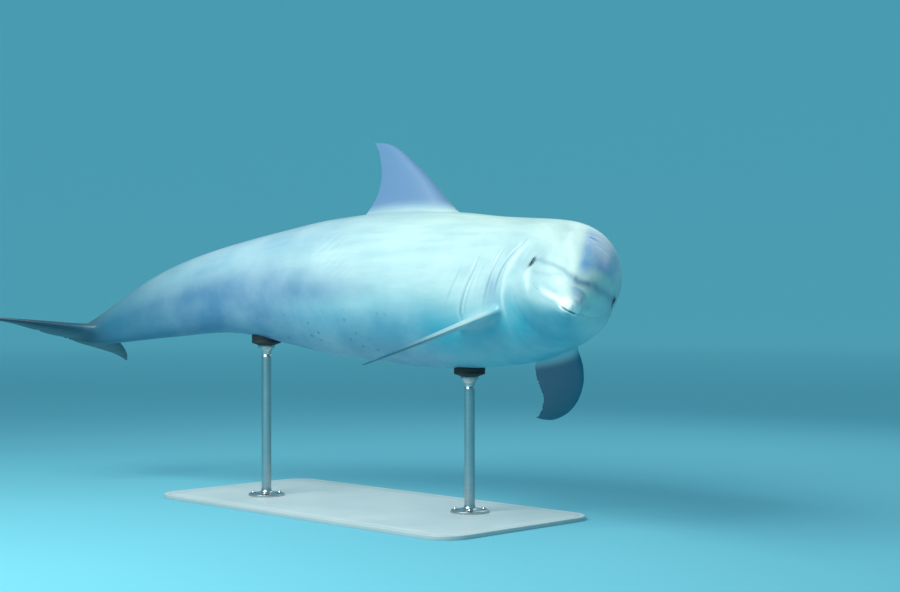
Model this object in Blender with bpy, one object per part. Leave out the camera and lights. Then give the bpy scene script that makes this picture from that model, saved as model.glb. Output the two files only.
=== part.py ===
"""Bottlenose dolphin, life size, turning its head, held on a plain display stand.

Metres, +Z up, floor at z = 0. The animal swims toward +X with its head turned to its
right (-Y) and its right side rolled up. The body is lofted from cross-sections along a
bent spine; fins are lofted from aerofoil sections; the stand is plates and round rods.
"""
import math

import bmesh
import bpy
import numpy as np

for old in list(bpy.data.objects):
    bpy.data.objects.remove(old, do_unlink=True)

# ---------------------------------------------------------------- driving sizes
GAP = 0.0003                      # clear gap between neighbouring solids
WELD = 0.00002                    # points closer than this are joined after a cut
THIN_EDGE = 0.0012                # thickness of a fin along its trailing edge
RING_POINTS = 32                  # points round a body section

# spine: aft distance, heading (degrees, + turns to the right), pitch (+ nose up),
# roll (+ right side up); the head is stiff ahead of the first row
SPINE = (
    (0.40, 49.0, -8.1, 26.7),
    (0.66, 8.1, 5.2, 19.8),
    (1.15, -8.6, -0.6, 15.7),
    (1.70, -25.1, 6.2, 14.4),
    (2.15, -16.3, 16.4, 10.4),
    (2.42, -5.7, 6.7, 15.6),
)
JAW_TIP = (1.1461, -0.1866, 0.60)      # where the tip of the upper jaw sits
JAW_TIP_HEIGHT = -0.042           # its height from the spine line

# trunk sections: aft distance, top, bottom, half width; 2.5 m from jaw tip to fluke notch
TRUNK = (
    (0.000, -0.036, -0.046, 0.004), (0.060, -0.027, -0.054, 0.019),
    (0.110, -0.014, -0.064, 0.029), (0.128, 0.008, -0.078, 0.044),
    (0.150, 0.033, -0.090, 0.059), (0.180, 0.052, -0.101, 0.073),
    (0.220, 0.071, -0.114, 0.088), (0.270, 0.087, -0.130, 0.101),
    (0.340, 0.100, -0.153, 0.115), (0.430, 0.116, -0.187, 0.135),
    (0.560, 0.135, -0.231, 0.166), (0.750, 0.165, -0.251, 0.193),
    (1.000, 0.200, -0.254, 0.212), (1.200, 0.206, -0.246, 0.209),
    (1.400, 0.194, -0.227, 0.190), (1.600, 0.168, -0.180, 0.149),
    (1.780, 0.146, -0.132, 0.109), (2.000, 0.119, -0.104, 0.071),
    (2.180, 0.086, -0.072, 0.042), (2.320, 0.049, -0.045, 0.030),
    (2.420, 0.025, -0.023, 0.021), (2.500, 0.006, -0.006, 0.006),
)
# beak, jaws and cheeks: aft distance, top, bottom, half width
BEAK = (
    (0.000, -0.034, -0.047, 0.003), (0.006, -0.024, -0.059, 0.016),
    (0.020, -0.017, -0.066, 0.024), (0.045, -0.012, -0.072, 0.030),
    (0.080, -0.006, -0.079, 0.035), (0.125, -0.001, -0.090, 0.046),
    (0.170, 0.000, -0.102, 0.062), (0.220, 0.002, -0.115, 0.081),
    (0.270, 0.004, -0.129, 0.099), (0.330, 0.002, -0.148, 0.115),
    (0.400, -0.004, -0.170, 0.121), (0.500, -0.027, -0.189, 0.119),
    (0.600, -0.061, -0.192, 0.100),
)
# height of the point the sections are drawn round
CORE = ((0.0, -0.042), (0.125, -0.042), (0.22, -0.035), (0.34, -0.022), (0.5, 0.0),
        (2.5, 0.0))
# closed mouth line: aft distance, height
MOUTH = ((-0.05, -0.048), (0.03, -0.049), (0.09, -0.053), (0.16, -0.061),
         (0.22, -0.064), (0.265, -0.056), (0.29, -0.043))
CREASE = 0.118                    # where the beak meets the melon
NECK = 0.46                       # where the head meets the trunk
STOCK = 1.66                      # where the trunk meets the tail stock
STOCK_END = 2.47
BEAK_END = 0.60                   # behind here the sections follow the trunk table alone
FOLD_SOFT = 0.006                 # rounding of the crease between beak and melon
CHEEK_SOFT = 0.05                 # further rounding, reached at the cheeks
CHEEK_START = 0.13
CHEEK_REACH = 0.25

# stations of the body sections in each node
BEAK_ROWS = (0.0, 0.003, 0.009, 0.02, 0.04, 0.065, 0.092, CREASE)
JAW_ROWS = BEAK_ROWS[:-1] + (0.12, 0.15, 0.18, 0.21, 0.24, 0.27, 0.31)
HEAD_ROWS = (CREASE + GAP, 0.128, 0.139, 0.15, 0.165, 0.18, 0.20, 0.22, 0.245, 0.27, 0.30, 0.335,
             0.37, 0.41, NECK)
TRUNK_ROWS = tuple(np.linspace(NECK + GAP, STOCK, 19))
STOCK_ROWS = tuple(np.linspace(STOCK + GAP, 2.36, 12)) + (2.42, STOCK_END)
BODY_ROWS = HEAD_ROWS + TRUNK_ROWS + STOCK_ROWS

# dorsal fin, on the spine frame at DORSAL_AT: height, leading edge, trailing edge, thickness
DORSAL_AT = 1.20
DORSAL = (
    (0.150, 1.000, 1.385, 0.050), (0.200, 1.020, 1.374, 0.044), (0.244, 1.063, 1.349, 0.036),
    (0.282, 1.106, 1.336, 0.030), (0.322, 1.151, 1.333, 0.024), (0.354, 1.192, 1.339, 0.020),
    (0.384, 1.232, 1.348, 0.016), (0.410, 1.268, 1.359, 0.012), (0.431, 1.305, 1.372, 0.009),
    (0.440, 1.332, 1.379, 0.006), (0.4435, 1.352, 1.385, 0.004),
)
BACK_SPACE = (0.75, 1.62)         # stations of the back that the dorsal fin is cut by
# flipper: distance out, leading edge, trailing edge, thickness
FLIPPER = (
    (-0.045, 0.004, 0.118, 0.030), (0.000, 0.000, 0.120, 0.029), (0.050, -0.013, 0.116, 0.025),
    (0.100, -0.022, 0.115, 0.022), (0.150, -0.024, 0.120, 0.019), (0.200, -0.019, 0.117, 0.016),
    (0.250, -0.009, 0.105, 0.013), (0.290, 0.004, 0.097, 0.011), (0.330, 0.023, 0.100, 0.009),
    (0.365, 0.048, 0.107, 0.007), (0.388, 0.073, 0.115, 0.005), (0.397, 0.098, 0.121, 0.003),
)
# side: spine station, root leading edge point, span direction, chord direction (aft, left, up)
FLIPPER_SET = {
    "right": (0.57, (0.570, -0.130, -0.167), (0.451, -0.636, -0.626), (0.881, 0.427, 0.200)),
    "left": (0.60, (0.600, 0.137, -0.163), (0.669, 0.630, -0.394), (0.698, -0.714, 0.043)),
}
CHEST_SPACE = (0.30, 1.05)        # stations of the chest that the flippers are cut by
# fluke, on the spine frame at FLUKE_AT: distance out, leading, trailing edge, thickness
FLUKE_AT = 2.40
FLUKE = (
    (0.0002, 2.250, 2.488, 0.048), (0.028, 2.288, 2.504, 0.044), (0.070, 2.330, 2.514, 0.033),
    (0.130, 2.380, 2.513, 0.024), (0.190, 2.430, 2.513, 0.016), (0.245, 2.482, 2.527, 0.010),
    (0.285, 2.528, 2.545, 0.005), (0.302, 2.550, 2.557, 0.003),
)
STOCK_SPACE = 2.0                 # the flukes are cut by the stock behind this station
EYE_AT = (0.333, 0.1055, -0.021)  # eyeball centre: aft, out to the side, up
EYE_RADIUS = 0.0135
HEAD_AT = 0.20                    # any station in the stiff head
HEAD_SIDE = 0.25                  # a block this wide to each side spans the head
HEAD_UNDER = -0.30                # and this low clears its underside

BASE_SIZE = (1.30, 0.60, 0.012)
BASE_CORNER = 0.08
BASE_EDGE = 0.002                 # small bevel round the top of the plate
# radius and height of a rod's foot above the plate, and of its top end below the cup
FLANGE_PROFILE = ((0.055, 0.0), (0.055, 0.006), (0.022, 0.009), (0.015, 0.020))
NECK_PROFILE = ((0.015, -0.022), (0.026, -0.008), (0.026, 0.0))
CUP_FOOT = 0.030
CUP_RADIUS = 0.045
CUP_DEPTH = 0.022
CUP_FLARE = 0.006                 # height over which the cup widens from its foot
CUP_REACH = 0.22                  # length of body to each side that a cup is cut by
ROD_STATIONS = {"front": 0.93, "rear": 1.68}

# finishes: base colour (red, green, blue), roughness, metallic
FINISHES = {
    "skin": ((0.36, 0.42, 0.48), 0.35, 0.0),
    "pale_skin": ((0.66, 0.70, 0.73), 0.35, 0.0),
    "eye": ((0.03, 0.02, 0.02), 0.08, 0.0),
    "base_paint": ((0.80, 0.80, 0.79), 0.45, 0.0),
    "rod_steel": ((0.62, 0.62, 0.63), 0.30, 1.0),
    "pad_rubber": ((0.05, 0.05, 0.055), 0.70, 0.0),
}
SHARP_EDGE = math.radians(35)


# ---------------------------------------------------------------- curves
def smooth(table, column, x):
    """Monotone cubic through a table column; flat outside its ends."""
    xs = np.array([row[0] for row in table], float)
    ys = np.array([row[column] for row in table], float)
    h = np.diff(xs)
    d = np.diff(ys) / h
    m = np.zeros_like(ys)
    for i in range(1, len(xs) - 1):
        if d[i - 1] * d[i] > 0:
            w1 = 2 * h[i] + h[i - 1]
            w2 = h[i] + 2 * h[i - 1]
            m[i] = (w1 + w2) / (w1 / d[i - 1] + w2 / d[i])
    m[0] = end_slope(h[0], h[1], d[0], d[1])
    m[-1] = end_slope(h[-1], h[-2], d[-1], d[-2])
    x = np.clip(np.asarray(x, float), xs[0], xs[-1])
    i = np.clip(np.searchsorted(xs, x, side="right") - 1, 0, len(xs) - 2)
    t = (x - xs[i]) / h[i]
    a = (1 + 2 * t) * (1 - t) ** 2 * ys[i] + t * (1 - t) ** 2 * h[i] * m[i]
    b = t * t * (3 - 2 * t) * ys[i + 1] + t * t * (t - 1) * h[i] * m[i + 1]
    return a + b


def end_slope(h0, h1, d0, d1):
    """One-sided end slope that keeps the curve monotone."""
    m = ((2 * h0 + h1) * d0 - h0 * d1) / (h0 + h1)
    if m * d0 <= 0:
        return 0.0
    if d0 * d1 <= 0 and abs(m) > 3 * abs(d0):
        return 3 * d0
    return m


def spine_axes(s):
    """Forward, left and up directions of the bent spine."""
    heading = np.radians(smooth(SPINE, 1, s))
    pitch = np.radians(smooth(SPINE, 2, s))
    roll = np.radians(smooth(SPINE, 3, s))
    forward = np.stack([np.cos(heading) * np.cos(pitch), -np.sin(heading) * np.cos(pitch),
                        np.sin(pitch)], -1)
    level = np.stack([np.sin(heading), np.cos(heading), np.zeros_like(heading)], -1)
    top = np.cross(forward, level)
    c = np.cos(roll)[..., None]
    k = np.sin(roll)[..., None]
    return forward, c * level - k * top, c * top + k * level


STEPS = np.linspace(-0.10, 2.70, 561)
forward_steps, left_steps, up_steps = spine_axes(STEPS)
STRIDE = STEPS[1] - STEPS[0]
centre_steps = np.zeros((len(STEPS), 3))
centre_steps[1:] = np.cumsum(-(forward_steps[1:] + forward_steps[:-1]) / 2 * STRIDE, axis=0)
zero = int(round((0.0 - STEPS[0]) / STRIDE))
centre_steps += (np.array(JAW_TIP) - centre_steps[zero] - up_steps[zero] * JAW_TIP_HEIGHT)


def frame(s):
    """Centre, forward, left and up of the spine at one station."""
    pick = [np.array([np.interp(s, STEPS, rows[:, k]) for k in range(3)])
            for rows in (centre_steps, forward_steps, left_steps, up_steps)]
    return pick


def stiff(points, station):
    """Points (aft, left, up) carried by the spine frame of one station."""
    centre, forward, left, up = frame(station)
    p = np.asarray(points, float)
    return centre - forward * (p[..., 0:1] - station) + left * p[..., 1:2] + up * p[..., 2:3]


# ---------------------------------------------------------------- body sections
def lobe(table, a, core, c, k):
    """Distance from the core to an ellipse of the table, in direction (c, k)."""
    top = float(smooth(table, 1, a))
    bottom = float(smooth(table, 2, a))
    half = float(smooth(table, 3, a))
    height = (top - bottom) / 2
    rise = core - (top + bottom) / 2
    qa = c * c / half ** 2 + k * k / height ** 2
    qb = 2 * k * rise / height ** 2
    qc = rise * rise / height ** 2 - 1
    disc = qb * qb - 4 * qa * qc
    r = np.where(disc > 0, (-qb + np.sqrt(np.maximum(disc, 0))) / (2 * qa), 0)
    return np.maximum(r, 0)


def section(a, grow=0.0, count=RING_POINTS):
    """One body section, drawn round its core, as (aft, left, up) points."""
    angle = np.linspace(0, 2 * math.pi, count, endpoint=False)
    c = np.cos(angle)
    k = np.sin(angle)
    core = float(smooth(CORE, 1, a))
    r = lobe(TRUNK, a, core, c, k)
    if a < BEAK_END:
        soft = FOLD_SOFT + CHEEK_SOFT * min(max((a - CHEEK_START) / CHEEK_REACH, 0), 1)
        jaw = lobe(BEAK, a, core, c, k)
        blend = np.maximum(soft - np.abs(r - jaw), 0) / soft
        r = np.maximum(r, jaw) + blend * blend * soft / 4
    r = r + grow
    return np.stack([np.full(count, a), r * c, core + r * k], -1)


def posed(points):
    """A section point set carried to its own spine station."""
    return stiff(points, points[0, 0])


# ---------------------------------------------------------------- solids
def finish(name):
    """The material of one finish, made the first time it is asked for."""
    known = bpy.data.materials.get(name)
    if known:
        return known
    colour, roughness, metallic = FINISHES[name]
    made = bpy.data.materials.new(name)
    made.use_nodes = True
    shader = made.node_tree.nodes["Principled BSDF"]
    shader.inputs["Base Color"].default_value = colour + (1.0,)
    shader.inputs["Roughness"].default_value = roughness
    shader.inputs["Metallic"].default_value = metallic
    made.diffuse_color = colour + (1.0,)
    return made


def group(name):
    """An empty that carries the pieces of one group."""
    holder = bpy.data.objects.new(name, None)
    bpy.context.scene.collection.objects.link(holder)
    return holder


DOLPHIN = group("dolphin")
STAND = group("stand")


def solid(name, verts, faces, look="skin", holder=DOLPHIN):
    """A closed mesh object, its faces turned outward, its origin at its middle."""
    verts = np.asarray(verts, float)
    middle = (verts.min(axis=0) + verts.max(axis=0)) / 2
    mesh = bpy.data.meshes.new(name)
    mesh.from_pydata([tuple(map(float, v)) for v in verts - middle], [], faces)
    bm = bmesh.new()
    bm.from_mesh(mesh)
    turn_outward(bm)
    bm.to_mesh(mesh)
    bm.free()
    mesh.materials.append(finish(look))
    thing = bpy.data.objects.new(name, mesh)
    thing.location = [float(x) for x in middle]
    thing.parent = holder
    bpy.context.scene.collection.objects.link(thing)
    shade(thing)
    return thing


def turn_outward(bm):
    """Gives all faces of one closed body the same, outward turn."""
    bmesh.ops.recalc_face_normals(bm, faces=bm.faces)
    if bm.calc_volume(signed=True) < 0:
        bmesh.ops.reverse_faces(bm, faces=bm.faces)


def shade(thing):
    thing.data.shade_smooth()
    thing.data.set_sharp_from_angle(angle=SHARP_EDGE)


def loft(name, rings, look="skin", holder=DOLPHIN):
    """Rings of equal point count joined by triangles and capped at both ends."""
    count = len(rings[0])
    verts = np.concatenate(rings)
    faces = [tuple(range(count)), tuple(range((len(rings) - 1) * count, len(rings) * count))]
    for i in range(len(rings) - 1):
        for j in range(count):
            a, b = i * count + j, i * count + (j + 1) % count
            faces.append((a, b, b + count))
            faces.append((a, b + count, a + count))
    return solid(name, verts, faces, look, holder)


def body_loft(name, stations, grow=0.0):
    return loft(name, [posed(section(a, grow)) for a in stations])


def body_space(name, ahead, behind):
    """A cutter that follows the body facet by facet, one gap larger, between two stations."""
    rows = [a for a in BODY_ROWS if ahead <= a <= behind]
    return body_loft(name, rows, GAP)


def foil(lead, trail, thick, count=9):
    """Aerofoil round a chord: pairs (along, off)."""
    t = (1 - np.cos(np.linspace(0, math.pi, count))) / 2
    shape = 1.4845 * np.sqrt(t) - 0.63 * t - 1.758 * t ** 2 + 1.4215 * t ** 3 - 0.4955 * t ** 4
    off = np.maximum(thick * shape, THIN_EDGE / 2)
    off[0] = 0.0
    along = lead + (trail - lead) * t
    upper = np.stack([along, off], -1)
    lower = np.stack([along[::-1], -off[::-1]], -1)
    return np.concatenate([upper, lower[:-1]])


def carve(target, cutter, mode="DIFFERENCE"):
    """Exact boolean, applied, with the cutter removed."""
    cutter.display_type = "WIRE"
    cutter.hide_render = True
    change = target.modifiers.new("cut", "BOOLEAN")
    change.operation = mode
    change.solver = "EXACT"
    change.material_mode = "INDEX"
    change.object = cutter
    graph = bpy.context.evaluated_depsgraph_get()
    made = bpy.data.meshes.new_from_object(target.evaluated_get(graph))
    target.modifiers.clear()
    old = target.data
    target.data = made
    bpy.data.meshes.remove(old)
    made.name = target.name
    bpy.data.objects.remove(cutter, do_unlink=True)
    weld(target)
    shade(target)


def weld(thing):
    """Joins points closer than the weld distance, so the mesh stays one closed body."""
    bm = bmesh.new()
    bm.from_mesh(thing.data)
    bmesh.ops.remove_doubles(bm, verts=bm.verts, dist=WELD)
    bmesh.ops.dissolve_degenerate(bm, edges=bm.edges, dist=WELD / 2)
    turn_outward(bm)
    bm.to_mesh(thing.data)
    bm.free()


def prism(name, outline, half, station):
    """A block with a side outline (aft, up), reaching half to each side."""
    near = [(a, -half, z) for a, z in outline]
    far = [(a, half, z) for a, z in outline]
    return loft(name, [stiff(near, station), stiff(far, station)])


# ---------------------------------------------------------------- head, jaws and eyes
def mouth_block(name, shrink):
    """The space below the mouth line and ahead of its corner."""
    corner = MOUTH[-1][0]
    line = [(a, float(smooth(MOUTH, 1, a)) - shrink)
            for a in np.linspace(MOUTH[0][0], corner, 18)]
    line[-1] = (corner - shrink, line[-1][1])
    line += [(corner - shrink, HEAD_UNDER), (MOUTH[0][0], HEAD_UNDER)]
    return prism(name, line, HEAD_SIDE, HEAD_AT)


def ball(name, centre, radius, look="eye", rings=10, count=14):
    """A sphere whose poles point sideways, set in the head."""
    verts = [(centre[0], centre[1] - radius, centre[2])]
    for i in range(1, rings):
        t = math.pi * i / rings
        for j in range(count):
            u = 2 * math.pi * j / count
            verts.append((centre[0] + radius * math.sin(t) * math.cos(u),
                          centre[1] - radius * math.cos(t),
                          centre[2] + radius * math.sin(t) * math.sin(u)))
    verts.append((centre[0], centre[1] + radius, centre[2]))
    last = len(verts) - 1
    faces = []
    for j in range(count):
        n = (j + 1) % count
        faces.append((0, 1 + j, 1 + n))
        faces.append((last, last - count + n, last - count + j))
        for i in range(rings - 2):
            faces.append((1 + i * count + j, 1 + i * count + n,
                          1 + (i + 1) * count + n, 1 + (i + 1) * count + j))
    return solid(name, stiff(verts, HEAD_AT), faces, look)


def make_head():
    upper_jaw = body_loft("upper_jaw", BEAK_ROWS)
    carve(upper_jaw, mouth_block("mouth_cut", -GAP / 2))
    head = body_loft("head", HEAD_ROWS)
    carve(head, mouth_block("mouth_cut", -GAP / 2))
    lower_jaw = body_loft("lower_jaw", JAW_ROWS)
    carve(lower_jaw, mouth_block("mouth_keep", GAP / 2), "INTERSECT")
    lower_jaw.data.materials[0] = finish("pale_skin")
    for side, sign in (("left", 1), ("right", -1)):
        centre = (EYE_AT[0], sign * EYE_AT[1], EYE_AT[2])
        carve(head, ball("socket", centre, EYE_RADIUS + GAP))
        ball("eye_" + side, centre, EYE_RADIUS)


# ---------------------------------------------------------------- trunk and tail stock
def make_body():
    body_loft("trunk", TRUNK_ROWS)
    body_loft("tail_stock", STOCK_ROWS)


# ---------------------------------------------------------------- fins
def make_dorsal_fin():
    rings = []
    for height, lead, trail, thick in DORSAL:
        rings.append(stiff([(a, off, height) for a, off in foil(lead, trail, thick)], DORSAL_AT))
    fin = loft("dorsal_fin", rings)
    carve(fin, body_space("back_space", *BACK_SPACE))


def make_flipper(side):
    station, root, span, chord = FLIPPER_SET[side]
    root = np.array(root)
    span = np.array(span) / np.linalg.norm(span)
    chord = np.array(chord) - span * np.dot(chord, span)
    chord = chord / np.linalg.norm(chord)
    face = np.cross(chord, span)
    rings = []
    for out, lead, trail, thick in FLIPPER:
        ring = [root + span * out + chord * a + face * off for a, off in foil(lead, trail, thick)]
        rings.append(stiff(ring, station))
    flipper = loft("flipper_" + side, rings)
    carve(flipper, body_space("chest_space", *CHEST_SPACE))


def make_fluke(side, sign):
    rings = []
    for out, lead, trail, thick in FLUKE:
        ring = [(a, sign * out, off) for a, off in foil(lead, trail, thick)]
        rings.append(stiff(ring, FLUKE_AT))
    fluke = loft("fluke_" + side, rings)
    space = [posed(section(a, GAP)) for a in STOCK_ROWS if a > STOCK_SPACE]
    space.append(space[-1] - frame(STOCK_END)[1] * GAP)
    carve(fluke, loft("stock_space", space))


# ---------------------------------------------------------------- stand
def disc(x, y, z, radius, count=24):
    angle = np.linspace(0, 2 * math.pi, count, endpoint=False)
    return np.stack([x + radius * np.cos(angle), y + radius * np.sin(angle),
                     np.full(count, z)], -1)


def plate_ring(centre, size, corner, z):
    """A rounded rectangle at one height."""
    pts = []
    for k, (sx, sy) in enumerate(((1, 1), (-1, 1), (-1, -1), (1, -1))):
        for t in np.linspace(0, math.pi / 2, 7):
            angle = k * math.pi / 2 + t
            pts.append((centre[0] + sx * (size[0] / 2 - corner) + corner * math.cos(angle),
                        centre[1] + sy * (size[1] / 2 - corner) + corner * math.sin(angle), z))
    return np.array(pts)


def belly_point(station):
    """The lowest point of the body at one station."""
    ring = posed(section(station, GAP, 128))
    return ring[np.argmin(ring[:, 2])]


def make_base(centre):
    width, depth, thick = BASE_SIZE
    loft("stand_base", [
        plate_ring(centre, (width, depth), BASE_CORNER, 0.0),
        plate_ring(centre, (width, depth), BASE_CORNER, thick - BASE_EDGE),
        plate_ring(centre, (width - 2 * BASE_EDGE, depth - 2 * BASE_EDGE),
                   BASE_CORNER - BASE_EDGE, thick),
    ], "base_paint", STAND)


def make_support(place, station):
    """A flanged rod with a cup on it that follows the belly."""
    x, y, z = belly_point(station)
    foot = BASE_SIZE[2] + GAP
    top = z - CUP_DEPTH - GAP
    rings = [disc(x, y, foot + h, r) for r, h in FLANGE_PROFILE]
    rings += [disc(x, y, top + h, r) for r, h in NECK_PROFILE]
    loft("stand_rod_" + place, rings, "rod_steel", STAND)
    cup = loft("stand_cup_" + place, [
        disc(x, y, z - CUP_DEPTH, CUP_FOOT),
        disc(x, y, z - CUP_DEPTH + CUP_FLARE, CUP_RADIUS),
        disc(x, y, z + CUP_RADIUS, CUP_RADIUS)], "pad_rubber", STAND)
    carve(cup, body_space("cup_space", station - CUP_REACH, station + CUP_REACH))


make_head()
make_body()
make_dorsal_fin()
make_flipper("left")
make_flipper("right")
make_fluke("left", 1)
make_fluke("right", -1)
make_base(sum(belly_point(station) for station in ROD_STATIONS.values()) / 2)
for place, station in ROD_STATIONS.items():
    make_support(place, station)
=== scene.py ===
"""Bottlenose dolphin, life size: one seamless skin, two eyes and a plain display stand."""

import math

import bmesh
import bpy
import numpy as np
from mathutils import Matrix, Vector


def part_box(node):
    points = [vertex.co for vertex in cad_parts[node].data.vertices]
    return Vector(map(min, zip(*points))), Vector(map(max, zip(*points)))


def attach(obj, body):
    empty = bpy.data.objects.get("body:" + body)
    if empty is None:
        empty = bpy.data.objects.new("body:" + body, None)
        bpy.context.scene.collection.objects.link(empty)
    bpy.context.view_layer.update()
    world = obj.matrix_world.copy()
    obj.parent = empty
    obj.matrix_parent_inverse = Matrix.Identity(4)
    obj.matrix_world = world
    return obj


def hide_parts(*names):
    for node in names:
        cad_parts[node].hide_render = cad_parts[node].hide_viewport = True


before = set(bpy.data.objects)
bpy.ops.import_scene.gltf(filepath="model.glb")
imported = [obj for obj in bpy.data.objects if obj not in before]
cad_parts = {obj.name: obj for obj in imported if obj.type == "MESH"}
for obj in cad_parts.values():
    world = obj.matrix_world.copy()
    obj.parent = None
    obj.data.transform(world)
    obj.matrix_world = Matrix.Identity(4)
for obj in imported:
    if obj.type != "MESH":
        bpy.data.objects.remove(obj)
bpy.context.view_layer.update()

# ---------------------------------------------------------------- body form
# The animal's body: a spindle of blubber over muscle, lofted from cross-sections along a
# bent spine. Sizes are metres aft of the upper-jaw tip, up from the spine and out from it.
SPINE = (
    (0.40, 49.0, -8.1, 26.7),
    (0.66, 8.1, 5.2, 19.8),
    (1.15, -8.6, -0.6, 15.7),
    (1.70, -25.1, 6.2, 14.4),
    (2.15, -16.3, 16.4, 10.4),
    (2.42, -5.7, 6.7, 15.6),
)                                 # aft, heading, pitch and roll in degrees
JAW_TIP = (1.1461, -0.1866, 0.60)
JAW_TIP_HEIGHT = -0.042
TRUNK = (
    (0.000, -0.036, -0.046, 0.004), (0.060, -0.027, -0.054, 0.019),
    (0.110, -0.014, -0.064, 0.029), (0.128, 0.008, -0.078, 0.044),
    (0.150, 0.033, -0.090, 0.059), (0.180, 0.052, -0.101, 0.073),
    (0.220, 0.071, -0.114, 0.088), (0.270, 0.087, -0.130, 0.101),
    (0.340, 0.100, -0.153, 0.115), (0.430, 0.116, -0.187, 0.135),
    (0.560, 0.135, -0.231, 0.166), (0.750, 0.165, -0.251, 0.193),
    (1.000, 0.200, -0.254, 0.212), (1.200, 0.206, -0.246, 0.209),
    (1.400, 0.194, -0.227, 0.190), (1.600, 0.168, -0.180, 0.149),
    (1.780, 0.146, -0.132, 0.109), (2.000, 0.119, -0.104, 0.071),
    (2.180, 0.086, -0.072, 0.042), (2.320, 0.049, -0.045, 0.030),
    (2.420, 0.025, -0.023, 0.021), (2.455, 0.015, -0.0145, 0.0145),
    (2.480, 0.0055, -0.0055, 0.0085), (2.490, 0.0012, -0.0012, 0.004),
)                                 # aft, top, bottom, half width
BEAK = (
    (0.000, -0.034, -0.047, 0.003), (0.006, -0.024, -0.059, 0.016),
    (0.020, -0.017, -0.066, 0.024), (0.045, -0.012, -0.072, 0.030),
    (0.080, -0.006, -0.079, 0.035), (0.125, -0.001, -0.090, 0.046),
    (0.170, 0.000, -0.102, 0.062), (0.220, 0.002, -0.115, 0.081),
    (0.270, 0.004, -0.129, 0.099), (0.330, 0.002, -0.148, 0.115),
    (0.400, -0.004, -0.170, 0.121), (0.500, -0.027, -0.189, 0.119),
    (0.600, -0.061, -0.192, 0.100),
)
CORE = ((0.0, -0.042), (0.125, -0.042), (0.22, -0.035), (0.34, -0.022), (0.5, 0.0),
        (2.5, 0.0))               # height of the point that the sections are drawn round
TAIL_END = TRUNK[-1][0]


def end_slope(h0, h1, d0, d1):
    """One-sided end slope that keeps the curve monotone."""
    m = ((2 * h0 + h1) * d0 - h0 * d1) / (h0 + h1)
    if m * d0 <= 0:
        return 0.0
    if d0 * d1 <= 0 and abs(m) > 3 * abs(d0):
        return 3 * d0
    return m


def smooth(table, column, x):
    """Monotone cubic through a table column; flat outside its ends."""
    xs = np.array([row[0] for row in table], float)
    ys = np.array([row[column] for row in table], float)
    h = np.diff(xs)
    d = np.diff(ys) / h
    m = np.zeros_like(ys)
    for i in range(1, len(xs) - 1):
        if d[i - 1] * d[i] > 0:
            w1 = 2 * h[i] + h[i - 1]
            w2 = h[i] + 2 * h[i - 1]
            m[i] = (w1 + w2) / (w1 / d[i - 1] + w2 / d[i])
    m[0] = end_slope(h[0], h[1], d[0], d[1])
    m[-1] = end_slope(h[-1], h[-2], d[-1], d[-2])
    x = np.clip(np.asarray(x, float), xs[0], xs[-1])
    i = np.clip(np.searchsorted(xs, x, side="right") - 1, 0, len(xs) - 2)
    t = (x - xs[i]) / h[i]
    a = (1 + 2 * t) * (1 - t) ** 2 * ys[i] + t * (1 - t) ** 2 * h[i] * m[i]
    b = t * t * (3 - 2 * t) * ys[i + 1] + t * t * (t - 1) * h[i] * m[i + 1]
    return a + b


def ramp(x, start, end):
    """Smooth step from 0 at start to 1 at end."""
    t = np.clip((np.asarray(x, float) - start) / (end - start), 0, 1)
    return t * t * (3 - 2 * t)


STEPS = np.linspace(-0.10, 2.70, 561)
STRIDE = STEPS[1] - STEPS[0]
heading, pitch, roll = (np.radians(smooth(SPINE, c, STEPS)) for c in (1, 2, 3))
forward_steps = np.stack([np.cos(heading) * np.cos(pitch), -np.sin(heading) * np.cos(pitch),
                          np.sin(pitch)], -1)
level = np.stack([np.sin(heading), np.cos(heading), np.zeros_like(heading)], -1)
top = np.cross(forward_steps, level)
left_steps = np.cos(roll)[:, None] * level - np.sin(roll)[:, None] * top
up_steps = np.cos(roll)[:, None] * top + np.sin(roll)[:, None] * level
centre_steps = np.zeros((len(STEPS), 3))
centre_steps[1:] = np.cumsum(-(forward_steps[1:] + forward_steps[:-1]) / 2 * STRIDE, axis=0)
zero = int(round((0.0 - STEPS[0]) / STRIDE))
centre_steps += np.array(JAW_TIP) - centre_steps[zero] - up_steps[zero] * JAW_TIP_HEIGHT


def spine(a):
    """Centre, forward, left and up of the bent spine at stations a."""
    return [np.stack([np.interp(a, STEPS, rows[:, k]) for k in range(3)], -1)
            for rows in (centre_steps, forward_steps, left_steps, up_steps)]


def bend(straight):
    """Points of the straight body (aft, left, up) carried to their place in the pose."""
    centre, _, left, up = spine(straight[..., 0])
    return centre + left * straight[..., 1:2] + up * straight[..., 2:3]


def straighten(points, guess):
    """The inverse of bend, searched from a guess of the station."""
    a = np.broadcast_to(np.asarray(guess, float), points.shape[:-1]).copy()
    for _ in range(25):
        centre, forward, left, up = spine(a)
        a = np.clip(a - 0.7 * np.sum((points - centre) * forward, -1), -0.05, 2.65)
    centre, forward, left, up = spine(a)
    off = points - centre
    return np.stack([a, np.sum(off * left, -1), np.sum(off * up, -1)], -1)


def carried(points, station):
    """Points (aft, left, up) carried stiffly by the spine at one station."""
    centre, forward, left, up = spine(np.float64(station))
    return (centre - forward * (points[..., 0:1] - station) + left * points[..., 1:2]
            + up * points[..., 2:3])


def lobe(table, a, core, c, k):
    """Distance from the core to an ellipse of the table, in direction (c, k)."""
    high, low, half = (smooth(table, column, a) for column in (1, 2, 3))
    height = (high - low) / 2
    rise = core - (high + low) / 2
    qa = c * c / half ** 2 + k * k / height ** 2
    qb = 2 * k * rise / height ** 2
    qc = rise * rise / height ** 2 - 1
    disc = qb * qb - 4 * qa * qc
    r = np.where(disc > 0, (-qb + np.sqrt(np.maximum(disc, 0))) / (2 * qa), 0)
    return np.maximum(r, 0)


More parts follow.
